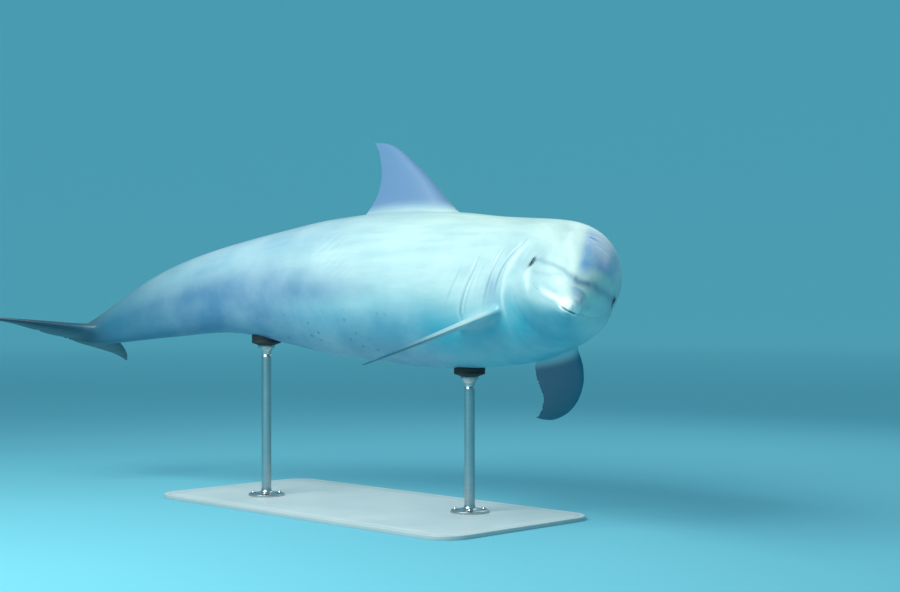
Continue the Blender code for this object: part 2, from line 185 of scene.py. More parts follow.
def plain_radius(a, angle):
    """Distance from the core to the body's surface, before folds and creases."""
    a = np.asarray(a, float) + 0 * angle
    c, k = np.cos(angle), np.sin(angle)
    core = smooth(CORE, 1, a)
    trunk = lobe(TRUNK, a, core, c, k)
    jaw = lobe(BEAK, a, core, c, k)
    soft = 0.006 + 0.05 * np.clip((a - 0.13) / 0.25, 0, 1)
    meet = np.maximum(soft - np.abs(trunk - jaw), 0) ** 2 / soft / 4 * (1 - ramp(a, 0.5, 0.6))
    return np.where(a < 0.6, np.maximum(trunk, jaw) + meet, trunk)


# Folds of loose skin where the neck is bent to the right: station of each fold at three
# angles round the body, its depth, its half width, and the angles where it starts and ends.
# The first row is the crease behind the eye; a raised cheek ridge lies ahead of the second.
FOLD_ANGLES = (178.0, 198.0, 224.0)
NECK_FOLDS = (
    (0.422, 0.400, 0.380, 0.0018, 0.0050, 164, 204), (0.506, 0.549, 0.605, 0.0052, 0.0060, 162, 224),
    (0.526, 0.568, 0.622, 0.0014, 0.0038, 170, 214), (0.585, 0.609, 0.662, 0.0038, 0.0048, 176, 230),
    (0.603, 0.628, 0.680, 0.0015, 0.0036, 178, 216), (0.650, 0.668, 0.708, 0.0012, 0.0036, 184, 226),
    (0.672, 0.690, 0.746, 0.0020, 0.0036, 192, 234), (0.690, 0.709, 0.768, 0.0036, 0.0044, 180, 240),
    (0.745, 0.776, 0.838, 0.0020, 0.0042, 184, 224),
)
CHEEK_RIDGE = (0.476, 0.504, 0.530, 0.0044, 0.0150)


def folds(a, angle):
    """Depth of the neck folds at (station, angle in degrees), below 0 on the ridges."""
    depth = 0 * a
    for first, middle, last, deep, half, start, end in NECK_FOLDS:
        line = np.interp(angle, FOLD_ANGLES, (first, middle, last))
        line = line + 0.0017 * np.sin(np.radians(angle) * 9 + first * 90)
        along = ramp(angle, start, start + 20) * (1 - ramp(angle, end - 20, end))
        across = (a - line) / half
        depth = depth + deep * along * (np.exp(-across ** 2) - 0.26 * np.exp(-(across - 2.2) ** 2)
                                        - 0.16 * np.exp(-(across + 2.2) ** 2))
    line = np.interp(angle, FOLD_ANGLES, CHEEK_RIDGE[:3])
    along = ramp(angle, 168, 196) * (1 - ramp(angle, 222, 244))
    return depth - CHEEK_RIDGE[3] * along * np.exp(-((a - line) / CHEEK_RIDGE[4]) ** 2)


def radius(a, angle):
    """Distance from the core to the finished skin."""
    a = np.asarray(a, float) + 0 * angle
    r = plain_radius(a, angle)
    degrees = np.degrees(angle) % 360
    c, k = np.cos(angle), np.sin(angle)
    core = smooth(CORE, 1, a)
    trunk = lobe(TRUNK, a, core, c, k)
    jaw = lobe(BEAK, a, core, c, k)
    crease = np.exp(-((trunk - jaw) / 0.0035) ** 2) * ramp(k, -0.1, 0.35)
    crease = crease * ramp(a, 0.10, 0.118) * (1 - ramp(a, 0.19, 0.30))
    crease = crease * (1 - 0.6 * ramp(degrees, 112, 135))
    near = (a > 0.33) & (a < 0.9)
    return r - 0.0024 * crease - np.where(near, folds(a, degrees), 0)


def skin_point(a, angle, lift=0.0):
    """Straight-body point on the skin, lifted off it by some height."""
    r = radius(a, angle) + lift
    return np.stack([a + 0 * r, r * np.cos(angle), smooth(CORE, 1, a) + r * np.sin(angle)], -1)


def polar(straight):
    """Angle and distance from the core of straight-body points."""
    up = straight[..., 2] - smooth(CORE, 1, straight[..., 0])
    return np.arctan2(up, straight[..., 1]), np.hypot(straight[..., 1], up)


# ---------------------------------------------------------------- skin sheet
# The skin over the body is one sheet of rings and lines. A line follows each side of the
# closed mouth, where the lips roll into a thin groove, and rings crowd where skin folds.
MOUTH = ((-0.05, -0.048), (0.03, -0.049), (0.09, -0.053), (0.16, -0.061),
         (0.22, -0.064), (0.265, -0.056), (0.29, -0.043))
MOUTH_END = MOUTH[-1][0]
RING_STEP = (
    (0.000, 0.0007), (0.010, 0.0013), (0.040, 0.0030), (0.095, 0.0026), (0.118, 0.0015),
    (0.140, 0.0017), (0.180, 0.0034), (0.400, 0.0042), (0.510, 0.0036), (0.820, 0.0038),
    (0.920, 0.0100), (1.100, 0.0140), (2.100, 0.0140), (2.300, 0.0090), (2.440, 0.0050),
    (2.490, 0.0016),
)                                 # aft, spacing of the rings there
LINES = 152                       # lines along the body, a multiple of 4
QUARTER = LINES // 4
LIP_STEP = 0.0010                 # spacing of the lines at the lips

rings = [0.0]
while rings[-1] < TAIL_END:
    rings.append(rings[-1] + float(smooth(RING_STEP, 1, rings[-1])))
rings = np.array(rings) * TAIL_END / rings[-1]
rings[-1] = TAIL_END


def mouth_angle(a):
    """Angle of the left mouth line at one station; eases to level behind the corner."""
    angle = 0.0
    for _ in range(30):
        height = float(smooth(MOUTH, 1, a)) - float(smooth(CORE, 1, a))
        reach = float(plain_radius(np.array(min(a, 0.40)), np.array(angle)))
        angle = math.asin(max(min(height / reach, 0.95), -0.95))
    return angle * (1 - float(ramp(a, 0.33, 0.60)))


def line_spots(length, closeness):
    """Fractions of an arc for the lines of one quarter, close together at the lips."""
    t = (np.arange(QUARTER) + 0.5) / QUARTER
    far = ramp(t, 0.16, 0.42)
    near = min(LIP_STEP, length / QUARTER)
    near = near * closeness + length / QUARTER * (1 - closeness)
    rest = (length / QUARTER - near * (1 - far.mean())) / far.mean()
    step = near + (rest - near) * far
    return np.concatenate([[0], np.cumsum(step)[:-1]]) / step.sum()


angles = np.zeros((len(rings), LINES))
for i, a in enumerate(rings):
    corner = mouth_angle(a)
    closeness = 1 - float(ramp(a, MOUTH_END, MOUTH_END + 0.10))
    spans = ((corner, math.pi / 2), (math.pi - corner, math.pi / 2),
             (math.pi - corner, 1.5 * math.pi), (corner, -0.5 * math.pi))
    parts = []
    for start, end in spans:
        fine = np.linspace(start, end, 90)
        p = skin_point(np.full(90, a), fine)
        arc = np.concatenate([[0], np.cumsum(np.linalg.norm(np.diff(p[:, 1:], axis=0), axis=1))])
        parts.append(np.interp(line_spots(arc[-1], closeness), arc / arc[-1], fine))
    upper = np.concatenate([parts[0], [math.pi / 2], parts[1][:0:-1]])
    lower = np.concatenate([parts[2], [1.5 * math.pi], parts[3][:0:-1] + 2 * math.pi])
    angles[i] = np.concatenate([upper, lower])

stations = np.repeat(rings[:, None], LINES, 1)
sheet = skin_point(stations, angles)


def normals_of(p):
    """Outward directions of a ring-and-line sheet."""
    along = np.gradient(p, axis=0)
    around = np.roll(p, -1, 1) - np.roll(p, 1, 1)
    n = np.cross(around, along)
    return n / (np.linalg.norm(n, axis=-1, keepdims=True) + 1e-12)


# lips: rolled edges 4.6 mm off a groove that fades out at the mouth's corner
LIP_DEPTH = 0.0026
LIP_WIDTH = 0.0013
segment = np.linalg.norm(np.diff(sheet, axis=1, append=sheet[:, :1]), axis=-1)
arc = np.concatenate([np.zeros((len(rings), 1)), np.cumsum(segment, axis=1)], axis=1)
girth = arc[:, -1:]
half_turn = arc[:, LINES // 2:LINES // 2 + 1]
to_lips = np.minimum(np.minimum(arc[:, :-1], girth - arc[:, :-1]), np.abs(arc[:, :-1] - half_turn))
fade = (1 - ramp(stations, 0.262, MOUTH_END + 0.006))
small = np.minimum(1, 0.25 + stations / 0.016) * (1 - 0.62 * ramp(stations, 0.02, 0.08))
groove = LIP_DEPTH * np.exp(-(to_lips / LIP_WIDTH) ** 2)
roll_up = 0.0008 * np.exp(-((to_lips - 0.0046) / 0.0026) ** 2)
sheet_normals = normals_of(sheet)
sheet = sheet + sheet_normals * ((roll_up - groove) * fade * small)[..., None]

straight_parts = [sheet.reshape(-1, 3)]
placed_parts = [bend(sheet).reshape(-1, 3)]
faces = []
open_cells = np.zeros((len(rings) - 1, LINES), bool)


def add_ring(straight, placed=None):
    """Adds skin points and gives their numbers; they bend with the body unless placed."""
    first = sum(len(part) for part in straight_parts)
    straight_parts.append(straight.reshape(-1, 3))
    placed_parts.append((bend(straight) if placed is None else placed).reshape(-1, 3))
    return list(range(first, first + straight_parts[-1].shape[0]))


def next_ring(ring, straight, placed=None):
    """Adds a closed ring of skin points and joins it with quads to the ring before it."""
    new = add_ring(straight, placed)
    for k in range(len(ring)):
        n = (k + 1) % len(ring)
        faces.append((ring[k], ring[n], new[n], new[k]))
    return new


def close_flat(ring):
    """Closes a ring across its long axis, from its first point to the opposite one."""
    size = len(ring)
    faces.append((ring[0], ring[1], ring[-1]))
    for k in range(1, size // 2 - 1):
        faces.append((ring[k], ring[k + 1], ring[size - k - 1], ring[size - k]))
    faces.append((ring[size // 2 - 1], ring[size // 2], ring[size // 2 + 1]))


def close_round(ring, straight):
    """Closes a ring on one point."""
    tip = add_ring(straight)[0]
    for k in range(len(ring)):
        faces.append((ring[k], ring[(k + 1) % len(ring)], tip))


def near_turn(angle, reference):
    """The same direction as an angle within half a turn of the reference."""
    return reference + (angle - reference + math.pi) % (2 * math.pi) - math.pi


def opening(a, angle, margin):
    """Cuts a four-sided opening round points (a, angle) and gives its rim, from the middle
    of the front edge round by rising angle, with the rim's stations and angles."""
    first = max(int(np.searchsorted(rings, a.min() - margin)) - 1, 1)
    last = min(int(np.searchsorted(rings, a.max() + margin)), len(rings) - 1)
    row = angles[(first + last) // 2]
    spread = margin / float(plain_radius(rings[(first + last) // 2], row[0]))
    turns = np.concatenate([row - 2 * math.pi, row, row + 2 * math.pi])
    low = int(np.searchsorted(turns, angle.min() - spread)) - 1 - LINES
    high = int(np.searchsorted(turns, angle.max() + spread)) - LINES
    high += (high - low) % 2
    lines = [j % LINES for j in range(low, high + 1)]
    middle = len(lines) // 2
    rim = [first * LINES + j for j in lines[middle:]]
    rim += [i * LINES + lines[-1] for i in range(first + 1, last + 1)]
    rim += [last * LINES + j for j in lines[-2::-1]]
    rim += [i * LINES + lines[0] for i in range(last - 1, first - 1, -1)]
    rim += [first * LINES + j for j in lines[1:middle]]
    open_cells[first:last, lines[:-1]] = True
    return rim, stations.reshape(-1)[rim], near_turn(angles.reshape(-1)[rim], angle.mean())


# ---------------------------------------------------------------- fins
# Dorsal fin, flippers and flukes: stiff blades of fibrous tissue under the same skin. They
# swell out of the body with a rounded foot and thin to a fine trailing edge.
DORSAL_AT = 1.20
DORSAL = (
    (0.150, 1.000, 1.385, 0.050), (0.200, 1.020, 1.374, 0.044), (0.244, 1.063, 1.349, 0.036),
    (0.282, 1.106, 1.336, 0.030), (0.322, 1.151, 1.333, 0.024), (0.354, 1.192, 1.339, 0.020),
    (0.384, 1.232, 1.348, 0.016), (0.410, 1.268, 1.359, 0.012), (0.431, 1.305, 1.372, 0.009),
    (0.440, 1.332, 1.379, 0.006), (0.4435, 1.352, 1.385, 0.004),
)                                 # height, leading edge, trailing edge, thickness
FLIPPER = (
    (-0.045, 0.004, 0.118, 0.030), (0.000, 0.000, 0.120, 0.029), (0.050, -0.013, 0.116, 0.025),
    (0.100, -0.022, 0.115, 0.022), (0.150, -0.024, 0.120, 0.019), (0.200, -0.019, 0.117, 0.016),
    (0.250, -0.009, 0.105, 0.013), (0.290, 0.004, 0.097, 0.011), (0.330, 0.023, 0.100, 0.009),
    (0.365, 0.048, 0.107, 0.007), (0.388, 0.073, 0.115, 0.005), (0.397, 0.098, 0.121, 0.003),
)                                 # distance out, leading edge, trailing edge, thickness
FLIPPER_SET = {
    "right": (0.57, (0.570, -0.130, -0.167), (0.451, -0.636, -0.626), (0.881, 0.427, 0.200)),
    "left": (0.60, (0.600, 0.137, -0.163), (0.669, 0.630, -0.394), (0.698, -0.714, 0.043)),
}                                 # station, root, span and chord directions
FLUKE_AT = 2.40
FLUKE = (
    (0.0002, 2.250, 2.488, 0.048), (0.028, 2.288, 2.504, 0.044), (0.070, 2.330, 2.514, 0.033),
    (0.130, 2.380, 2.513, 0.024), (0.190, 2.430, 2.513, 0.016), (0.245, 2.482, 2.527, 0.010),
    (0.285, 2.528, 2.545, 0.005), (0.302, 2.550, 2.557, 0.003),
)
THIN_EDGE = 0.0012


def blade(table, out, turn, side):
    """Where round a fin's section (turn 0 at the leading edge, 0.5 at the trailing edge):
    the place along the chord and off it."""
    t = (1 - np.cos(2 * math.pi * turn)) / 2
    shape = 1.4845 * np.sqrt(t) - 0.63 * t - 1.758 * t ** 2 + 1.4215 * t ** 3 - 0.4955 * t ** 4
    thick = smooth(table, 3, out)
    edge = np.minimum(THIN_EDGE / 2 * np.minimum(t / 0.02, 1), thick / 3)
    half = np.maximum(thick * shape, edge)
    half = np.where(np.abs(turn - 0.5) < 1e-6, 0, half)
    lead, trail = smooth(table, 1, out), smooth(table, 2, out)
    sign = np.where((turn % 1) < 0.5, side, -side)
    return lead + (trail - lead) * t, sign * half


def dorsal_fin(turn, out):
    along, off = blade(DORSAL, out, turn, -1)
    return np.stack([along, off, out], -1)


def flipper(turn, out, side):
    _, root, span, chord = FLIPPER_SET[side]
    span = np.array(span) / np.linalg.norm(span)
    chord = np.array(chord) - span * np.dot(chord, span)
    chord = chord / np.linalg.norm(chord)
    face = np.cross(chord, span)
    along, off = blade(FLIPPER, out, turn, 1)
    if side == "left":
        rear = ramp((along - 0.06) / 0.06, 0, 1)
        notch = np.sin(out * 330) + 0.6 * np.sin(out * 790 + 1) + 0.4 * np.sin(out * 151)
        along = along - 0.0028 * rear * np.maximum(notch, 0) * ramp(out, 0.10, 0.16)
    return (np.array(root) + span * out[..., None] + chord * along[..., None]
            + face * off[..., None])


def fluke(turn, out, side):
    along, off = blade(FLUKE, out, turn, side)
    if side < 0:
        rear = ramp(along, 2.47, 2.515)
        along = along - 0.011 * rear * np.exp(-((out - 0.112) / 0.0055) ** 2)
    return np.stack([along, side * out, off], -1)


def grow_fin(fin, station, inner, outer, tip, lift, margin, steps, reference, foot=None):
    """Grafts a fin on the skin. fin(turn, out) gives its stiff points; inner and outer are
    distances out that lie inside and outside the body, lift is the height of its rounded
    foot, margin how far the foot reaches ahead, behind and to the sides, and steps the
    shares of the way to the tip where its rings lie."""
    def meet(turn):
        low, high = np.full_like(turn, inner), np.full_like(turn, outer)
        for _ in range(24):
            out = (low + high) / 2
            stiff = fin(turn, out)
            here = straighten(carried(stiff, station), stiff[..., 0])
            angle, reach = polar(here)
            inside = reach < plain_radius(here[..., 0], angle)
            low, high = np.where(inside, out, low), np.where(inside, high, out)
        return out, here[..., 0], near_turn(angle, reference)

    def spread(turn, a, angle):
        if foot:
            return foot(turn)
        size = float(plain_radius(a.mean(), angle.mean()))
        root = np.stack([a, angle * size], -1)
        front, back = root[0], root[len(turn) // 2]
        chord = np.linalg.norm(back - front)
        along = (back - front) / chord
        across = np.array([-along[1], along[0]])
        off = (root - (front + back) / 2) @ across
        if off[len(turn) // 4] < 0:
            across, off = -across, -off
        swing = np.cos(2 * math.pi * turn)
        reach = chord / 2 + margin[0] * (1 + swing) / 2 + margin[1] * (1 - swing) / 2
        out = ((front + back) / 2 - along * (reach * swing)[:, None]
               + across * ((off.max() + margin[2]) * np.sin(2 * math.pi * turn))[:, None])
        return out[:, 0], out[:, 1] / size

    trial = np.arange(64) / 64
    _, a, angle = meet(trial)
    around, about = spread(trial, a, angle)
    rim, rim_a, rim_angle = opening(around, about, margin[3])
    turn = np.arange(len(rim)) / len(rim)
    out, a, angle = meet(turn)
    foot_a, foot_angle = spread(turn, a, angle)
    ring = rim
    for share in (0.34, 0.67, 1.0):
        ring = next_ring(ring, skin_point(rim_a + (foot_a - rim_a) * share,
                                          rim_angle + (foot_angle - rim_angle) * share))
    rise = np.minimum(lift, (tip - out) * 0.5)
    stiff = fin(turn, out + rise)
    top_of_foot = straighten(carried(stiff, station), stiff[..., 0])
    top_angle, reach = polar(top_of_foot)
    top_angle = near_turn(top_angle, reference)
    height = reach - radius(top_of_foot[..., 0], top_angle)
    for t in (0.12, 0.24, 0.36, 0.48, 0.60, 0.72, 0.84, 1.0):
        w0, w1, w2 = (1 - t) ** 2, 2 * t * (1 - t), t * t
        ring = next_ring(ring, skin_point(w0 * foot_a + w1 * a + w2 * top_of_foot[..., 0],
                                          w0 * foot_angle + w1 * angle + w2 * top_angle,
                                          w2 * height))
    for share in steps:
        at = out + rise + (tip - out - rise) * share
        stiff = fin(turn, at)
        placed = carried(stiff, station)
        bent = straighten(placed, stiff[..., 0])
        blend = float(ramp(share, 0.0, 0.3))
        ring = next_ring(ring, bent * (1 - blend) + stiff * blend, placed)
    before, last = placed_parts[-2:]
    stiff = straight_parts[-1]
    middle = last.mean(0)
    ahead = middle - before.mean(0)
    ahead = ahead / np.linalg.norm(ahead)
    for shrink, advance in ((0.86, 0.0008), (0.60, 0.0015), (0.28, 0.0019)):
        ring = next_ring(ring, stiff, middle + (last - middle) * shrink + ahead * advance)
    close_flat(ring)


def tip_steps(count):
    """Shares of the way to a fin's tip, closer together towards the tip."""
    return 1 - (1 - np.arange(1, count + 1) / count) ** 1.25


def fluke_foot(turn, side):
    """The foot of a fluke on the end of the tail stock."""
    swing, off = np.cos(2 * math.pi * turn), np.sin(2 * math.pi * turn)
    a = 2.3525 - 0.1370 * swing
    angle = math.radians(64) * np.sign(off) * np.abs(off) ** 0.5
    return a, angle if side > 0 else math.pi + angle


grow_fin(dorsal_fin, DORSAL_AT, DORSAL[0][0], 0.300, DORSAL[-1][0], 0.034,
         (0.075, 0.032, 0.030, 0.012), tip_steps(22), math.radians(90))
for side, root_degrees, ring_count in (("right", 225, 26), ("left", -45, 36)):
    grow_fin(lambda turn, out: flipper(turn, out, side), FLIPPER_SET[side][0], FLIPPER[0][0],
             0.120, FLIPPER[-1][0], 0.030, (0.030, 0.030, 0.026, 0.008), tip_steps(ring_count),
             math.radians(root_degrees))
for side in (1, -1):
    grow_fin(lambda turn, out: fluke(turn, out, side), FLUKE_AT, FLUKE[0][0], 0.080,
             FLUKE[-1][0], 0.016, (0, 0, 0, 0.006), tip_steps(22), 0.0 if side > 0 else math.pi,
             foot=lambda turn: fluke_foot(turn, side))

# ---------------------------------------------------------------- eyes
# Each eye is a wet ball deep in the side of the head, under thick rounded lids of skin
# that close round it to a low almond. Loose skin makes fine wrinkles outside the lids.
EYE_AFT, EYE_OUT, EYE_UP = 0.333, 0.1025, -0.021
EYE_RADIUS = 0.0165
LID_LENGTH, LID_HEIGHT = 0.0122, 0.0082      # half sizes of the gap between the lids
LID_TILT = math.radians(-14)
LID_THICK = 0.0021
LID_CLEAR = 0.0005                # gap between the lids and the ball


def skin_beside(u, v, side):
    """Straight-body point of the skin u ahead of and v above an eye's middle."""
    a = EYE_AFT - u
    core = smooth(CORE, 1, a)
    angle = np.zeros_like(a)
    for _ in range(20):
        reach = radius(a, angle if side > 0 else math.pi - angle)
        angle = np.arcsin(np.clip((EYE_UP + v - core) / reach, -0.98, 0.98))
    return skin_point(a, angle if side > 0 else math.pi - angle)


def almond(angle, scale):
    """Outline of the gap between the lids, tilted with its front corner low."""
    u = LID_LENGTH * scale * np.cos(angle)
    v = LID_HEIGHT * scale * np.sign(np.sin(angle)) * np.abs(np.sin(angle)) ** 1.25
    return (u * math.cos(LID_TILT) - v * math.sin(LID_TILT),
            u * math.sin(LID_TILT) + v * math.cos(LID_TILT))


def eye_points(u, v, w, side):
    """Straight-body points at (ahead, above, outward) of an eye's middle."""
    return np.stack([EYE_AFT - u, side * (EYE_OUT + w), EYE_UP + v], -1)


def make_lids(side):
    reach = 0.034
    centre = 0.0 if side > 0 else math.pi
    corner_angle = math.asin(reach / 0.118)
    rim, rim_a, rim_angle = opening(
        np.array([EYE_AFT - reach, EYE_AFT + reach]),
        centre + np.array([-corner_angle, corner_angle]) - side * 0.10, 0.002)
    here = skin_point(rim_a, rim_angle)
    rim_u, rim_v = EYE_AFT - here[:, 0], here[:, 2] - EYE_UP
    turn = np.arctan2(rim_v - rim_v.mean(), rim_u - rim_u.mean())
    lid_u, lid_v = almond(turn, 1.16)
    ring = rim
    for share in np.linspace(0, 1, 17)[1:]:
        share = share ** 0.72
        u = rim_u + (lid_u - rim_u) * share
        v = rim_v + (lid_v - rim_v) * share
        p = skin_beside(u, v, side)
        skin_w = side * p[:, 1] - EYE_OUT
        away = np.hypot(u / LID_LENGTH, v / LID_HEIGHT)
        ball = np.sqrt(np.maximum((EYE_RADIUS + LID_THICK) ** 2 - u * u - v * v, 0)) - 0.0004
        soft = 0.0045
        meet = np.maximum(soft - np.abs(skin_w - ball), 0) ** 2 / soft / 4
        w = np.maximum(skin_w, ball) + meet
        under = 0.6 - 0.4 * np.sign(v)
        w = w - 0.0011 * np.exp(-((away - 1.72) / 0.16) ** 2)
        w = w + 0.0007 * np.exp(-((away - 2.10) / 0.22) ** 2)
        w = w - 0.0007 * under * np.exp(-((away - 2.55) / 0.14) ** 2)
        w = w - 0.0005 * under * np.exp(-((away - 3.15) / 0.13) ** 2) * ramp(u, 0.03, 0.0)
        w = np.where(share > 0.2, w, skin_w)
        ring = next_ring(ring, eye_points(u, v, w, side))
    for scale, off in ((1.07, LID_THICK * 0.86), (1.02, LID_THICK * 0.58), (1.0, LID_CLEAR)):
        u, v = almond(turn, scale)
        w = np.sqrt((EYE_RADIUS + off) ** 2 - u * u - v * v)
        ring = next_ring(ring, eye_points(u, v, w, side))
    cup = EYE_RADIUS + LID_CLEAR
    tilt = np.arccos(w / cup)
    for share in np.linspace(0, 1, 9)[1:-1]:
        t = tilt + (math.pi - tilt) * share
        out = cup * np.sin(t) / np.hypot(u, v)
        ring = next_ring(ring, eye_points(u * out, v * out, cup * np.cos(t), side))
    close_round(ring, eye_points(np.zeros(1), np.zeros(1), np.full(1, -cup), side))


for side in (1, -1):
    make_lids(side)

# ---------------------------------------------------------------- blowhole and slits
# Openings of the skin, each shut to a slit with rounded lips: the crescent blowhole on top
# of the head, and on the belly the navel, the genital slit and the small slit behind it.
SLITS = (
    # aft, angle, half length, half opening, bow, depth, raised rim, across the body
    (0.338, 90.0, 0.0170, 0.0022, 26.0, 0.009, 0.0012, True),
    (1.130, 270.0, 0.0110, 0.0016, 0.0, 0.004, 0.0006, False),
    (1.560, 270.0, 0.0520, 0.0018, 0.0, 0.007, 0.0014, False),
    (1.775, 270.0, 0.0095, 0.0022, 0.0, 0.005, 0.0012, False),
)


def make_slit(aft, angle, half, gap, bow, depth, rim_rise, across):
    middle = math.radians(angle)
    size = float(plain_radius(np.array(aft), np.array(middle)))
    reach = (0.028, half + 0.012) if across else (half + 0.020, 0.022)
    rim, rim_a, rim_angle = opening(
        np.array([aft - reach[0], aft + reach[0]]),
        middle + np.array([-reach[1], reach[1]]) / size, 0.001)
    rim_p = -(rim_a - aft)
    rim_q = (rim_angle - middle) * size
    if across:
        rim_p, rim_q = rim_q, rim_p
    turn = np.arctan2(rim_q / np.abs(rim_q).max(), rim_p / np.abs(rim_p).max())
    ring = rim

    def spot(p, q, lift):
        along, round_ = (q, p) if across else (p, q)
        return skin_point(aft - along, middle + round_ / size, lift)

    def lips(open_by):
        p = half * np.cos(turn)
        q = open_by * np.sin(turn) * (1 - 0.35 * np.cos(turn) ** 2)
        return p * (1 + (open_by - gap) / half), q + bow * p * p - bow * half ** 2 / 3

    outer = lips(gap + 0.0055)
    for share in (0.22, 0.42, 0.60, 0.76, 0.89, 1.0):
        p = rim_p + (outer[0] - rim_p) * share
        q = rim_q + (outer[1] - rim_q) * share
        ring = next_ring(ring, spot(p, q, rim_rise * float(ramp(share, 0.35, 1.0)) * 0.8))
    for wide, lift in ((gap + 0.0030, rim_rise), (gap + 0.0012, rim_rise * 0.6), (gap, -0.0006),
                       (gap * 0.8, -depth * 0.3), (gap * 0.5, -depth * 0.7), (gap * 0.2, -depth)):
        ring = next_ring(ring, spot(*lips(wide), lift))
    start = int(np.argmin(np.abs(turn)))
    close_flat(ring[start:] + ring[:start])


for slit in SLITS:
    make_slit(*slit)

# ---------------------------------------------------------------- skin mesh
# One closed skin, as a mould-maker's cast has it: the sheet, the openings and the fins are
# joined, and the beak's tip and the end of the tail are closed.
for i in range(len(rings) - 1):
    for j in range(LINES):
        if not open_cells[i, j]:
            n = (j + 1) % LINES
            faces.append((i * LINES + j, i * LINES + n, (i + 1) * LINES + n, (i + 1) * LINES + j))
nose = list(range(LINES))
nose_end = np.array([-0.0011, 0.0, -0.0484])
for scale, ahead in ((0.68, 0.0005), (0.34, 0.0009)):
    nose = next_ring(nose, sheet[0] * scale + nose_end * (1 - scale) * [0, 1, 1] - [ahead, 0, 0])
close_round(nose, nose_end[None])
tail = [(len(rings) - 1) * LINES + j for j in range(LINES)]
close_round(tail, np.array([[TAIL_END + 0.0012, 0.0, 0.0]]))


def put(name, data):
    """A new object of the scene, at the origin."""
    thing = bpy.data.objects.new(name, data)
    bpy.context.scene.collection.objects.link(thing)
    return thing


def make_mesh(name, points, polygons):
    """A closed, smooth-shaded mesh object, its faces turned outward."""
    mesh = bpy.data.meshes.new(name)
    mesh.from_pydata(points.tolist(), [], polygons)
    bm = bmesh.new()
    bm.from_mesh(mesh)
    bmesh.ops.recalc_face_normals(bm, faces=bm.faces)
    if bm.calc_volume(signed=True) < 0:
        bmesh.ops.reverse_faces(bm, faces=bm.faces)
    bm.to_mesh(mesh)
    bm.free()
    mesh.shade_smooth()
    return put(name, mesh)


used = np.unique(np.concatenate([np.array(p) for p in faces]))
straight = np.concatenate(straight_parts)[used]
skin = make_mesh("dolphin_skin", np.concatenate(placed_parts)[used],
                 [np.searchsorted(used, p).tolist() for p in faces])

# ---------------------------------------------------------------- skin paint
# Markings of the living animal with painted light and shade, laid on the straight body so that they
# follow its bends:
# back painted pale as painted light; darker low flanks, belly, fins and tail, partly as painted shade;
# a dark bridle from the beak's crease to each eye; white upper lip; slate patches on forehead and
# beak; painted shade in creases;
# painted highlights on ridges, lip, beak tip and cheek; and specks low on the flanks.
aft, side_way, height = straight[:, 0], straight[:, 1], straight[:, 2]
paint_angle, reach = polar(straight)
turn_degrees = np.degrees(paint_angle) % 360
off_top = np.abs((turn_degrees - 90 + 180) % 360 - 180)       # 0 on the back, 180 on the belly
lift = reach - plain_radius(aft, paint_angle)
on_fin = ramp(lift, 0.006, 0.045)
off_fin = 1 - on_fin
top_fin = (off_top < 60) & (aft > 0.6) & (aft < 2.2)


def trail_mask(points, half):
    """1 on a line through (aft, angle) points, fading over half metres to each side."""
    best = np.full(len(aft), 9.0)
    size = np.maximum(reach, 0.02)
    for (a0, t0), (a1, t1) in zip(points[:-1], points[1:]):
        du, dv = a1 - a0, np.radians(t1 - t0) * size
        pu, pv = aft - a0, np.radians((turn_degrees - t0 + 180) % 360 - 180) * size
        t = np.clip((pu * du + pv * dv) / (du * du + dv * dv), 0, 1)
        best = np.minimum(best, np.hypot(pu - du * t, pv - dv * t))
    return np.exp(-(best / half) ** 2)


def spot_mask(station, angle, half):
    """1 at a place on the skin, fading over half metres round it."""
    size = np.maximum(reach, 0.02)
    turned = np.radians((turn_degrees - angle + 180) % 360 - 180)
    return np.exp(-(np.hypot(aft - station, turned * size) / half) ** 2)


BRIDLE = ((0.318, 174), (0.285, 165), (0.238, 158), (0.200, 148), (0.168, 136), (0.143, 122),
          (0.134, 108))
# the bridle is a marking; its middle, across the crease under the melon, is painted stronger as
# painted shade under the melon's overhang
BRIDLE_MIDDLE = ((0.132, 102), (0.129, 94), (0.131, 80), (0.138, 66))
SECOND_BRIDLE = ((0.285, 184), (0.242, 178), (0.205, 169), (0.170, 157), (0.143, 134))
BRIDLE_LEFT = ((0.138, 66), (0.160, 41), (0.200, 28), (0.242, 17), (0.318, 6))
head = 1 - ramp(aft, 0.40, 0.46)
bridle = np.maximum(0.42 * trail_mask(BRIDLE, 0.0062), 0.20 * trail_mask(SECOND_BRIDLE, 0.0058))
bridle = np.maximum(bridle, 0.78 * trail_mask(BRIDLE_MIDDLE, 0.0070))
bridle = np.maximum(bridle, 0.50 * trail_mask(BRIDLE_LEFT, 0.0105))
lid_away = np.hypot((aft - EYE_AFT) / 1.30, height - EYE_UP)
eye_ring = np.exp(-(np.maximum(lid_away - 0.0100, 0) / 0.0060) ** 2)
eye_ring = eye_ring * head * (np.abs(side_way) > 0.06)
# slate on the forehead: a marking with painted shade, laid on the forehead's left side, which faces
# away from the light
blaze_and_shade = ramp(turn_degrees, 22, 58) * (1 - ramp(turn_degrees, 94, 108))
blaze_low = np.interp(turn_degrees, (45, 85), (0.210, 0.128))
blaze_and_shade = blaze_and_shade * ramp(aft, blaze_low, blaze_low + 0.050) * (1 - ramp(aft, 0.36, 0.47))
beak_top = ramp(turn_degrees, 24, 60) * (1 - ramp(turn_degrees, 88, 128))
beak_top = beak_top * ramp(aft, 0.012, 0.048) * (1 - ramp(aft, 0.096, 0.124))
# painted shade in the grooves of the neck folds, and painted highlights on their ridges and on the
# cheek ridge
fold_shade_and_highlight = np.clip(folds(aft, turn_degrees) / 0.0040, -0.6, 1) * (aft > 0.33) * (aft < 0.9)
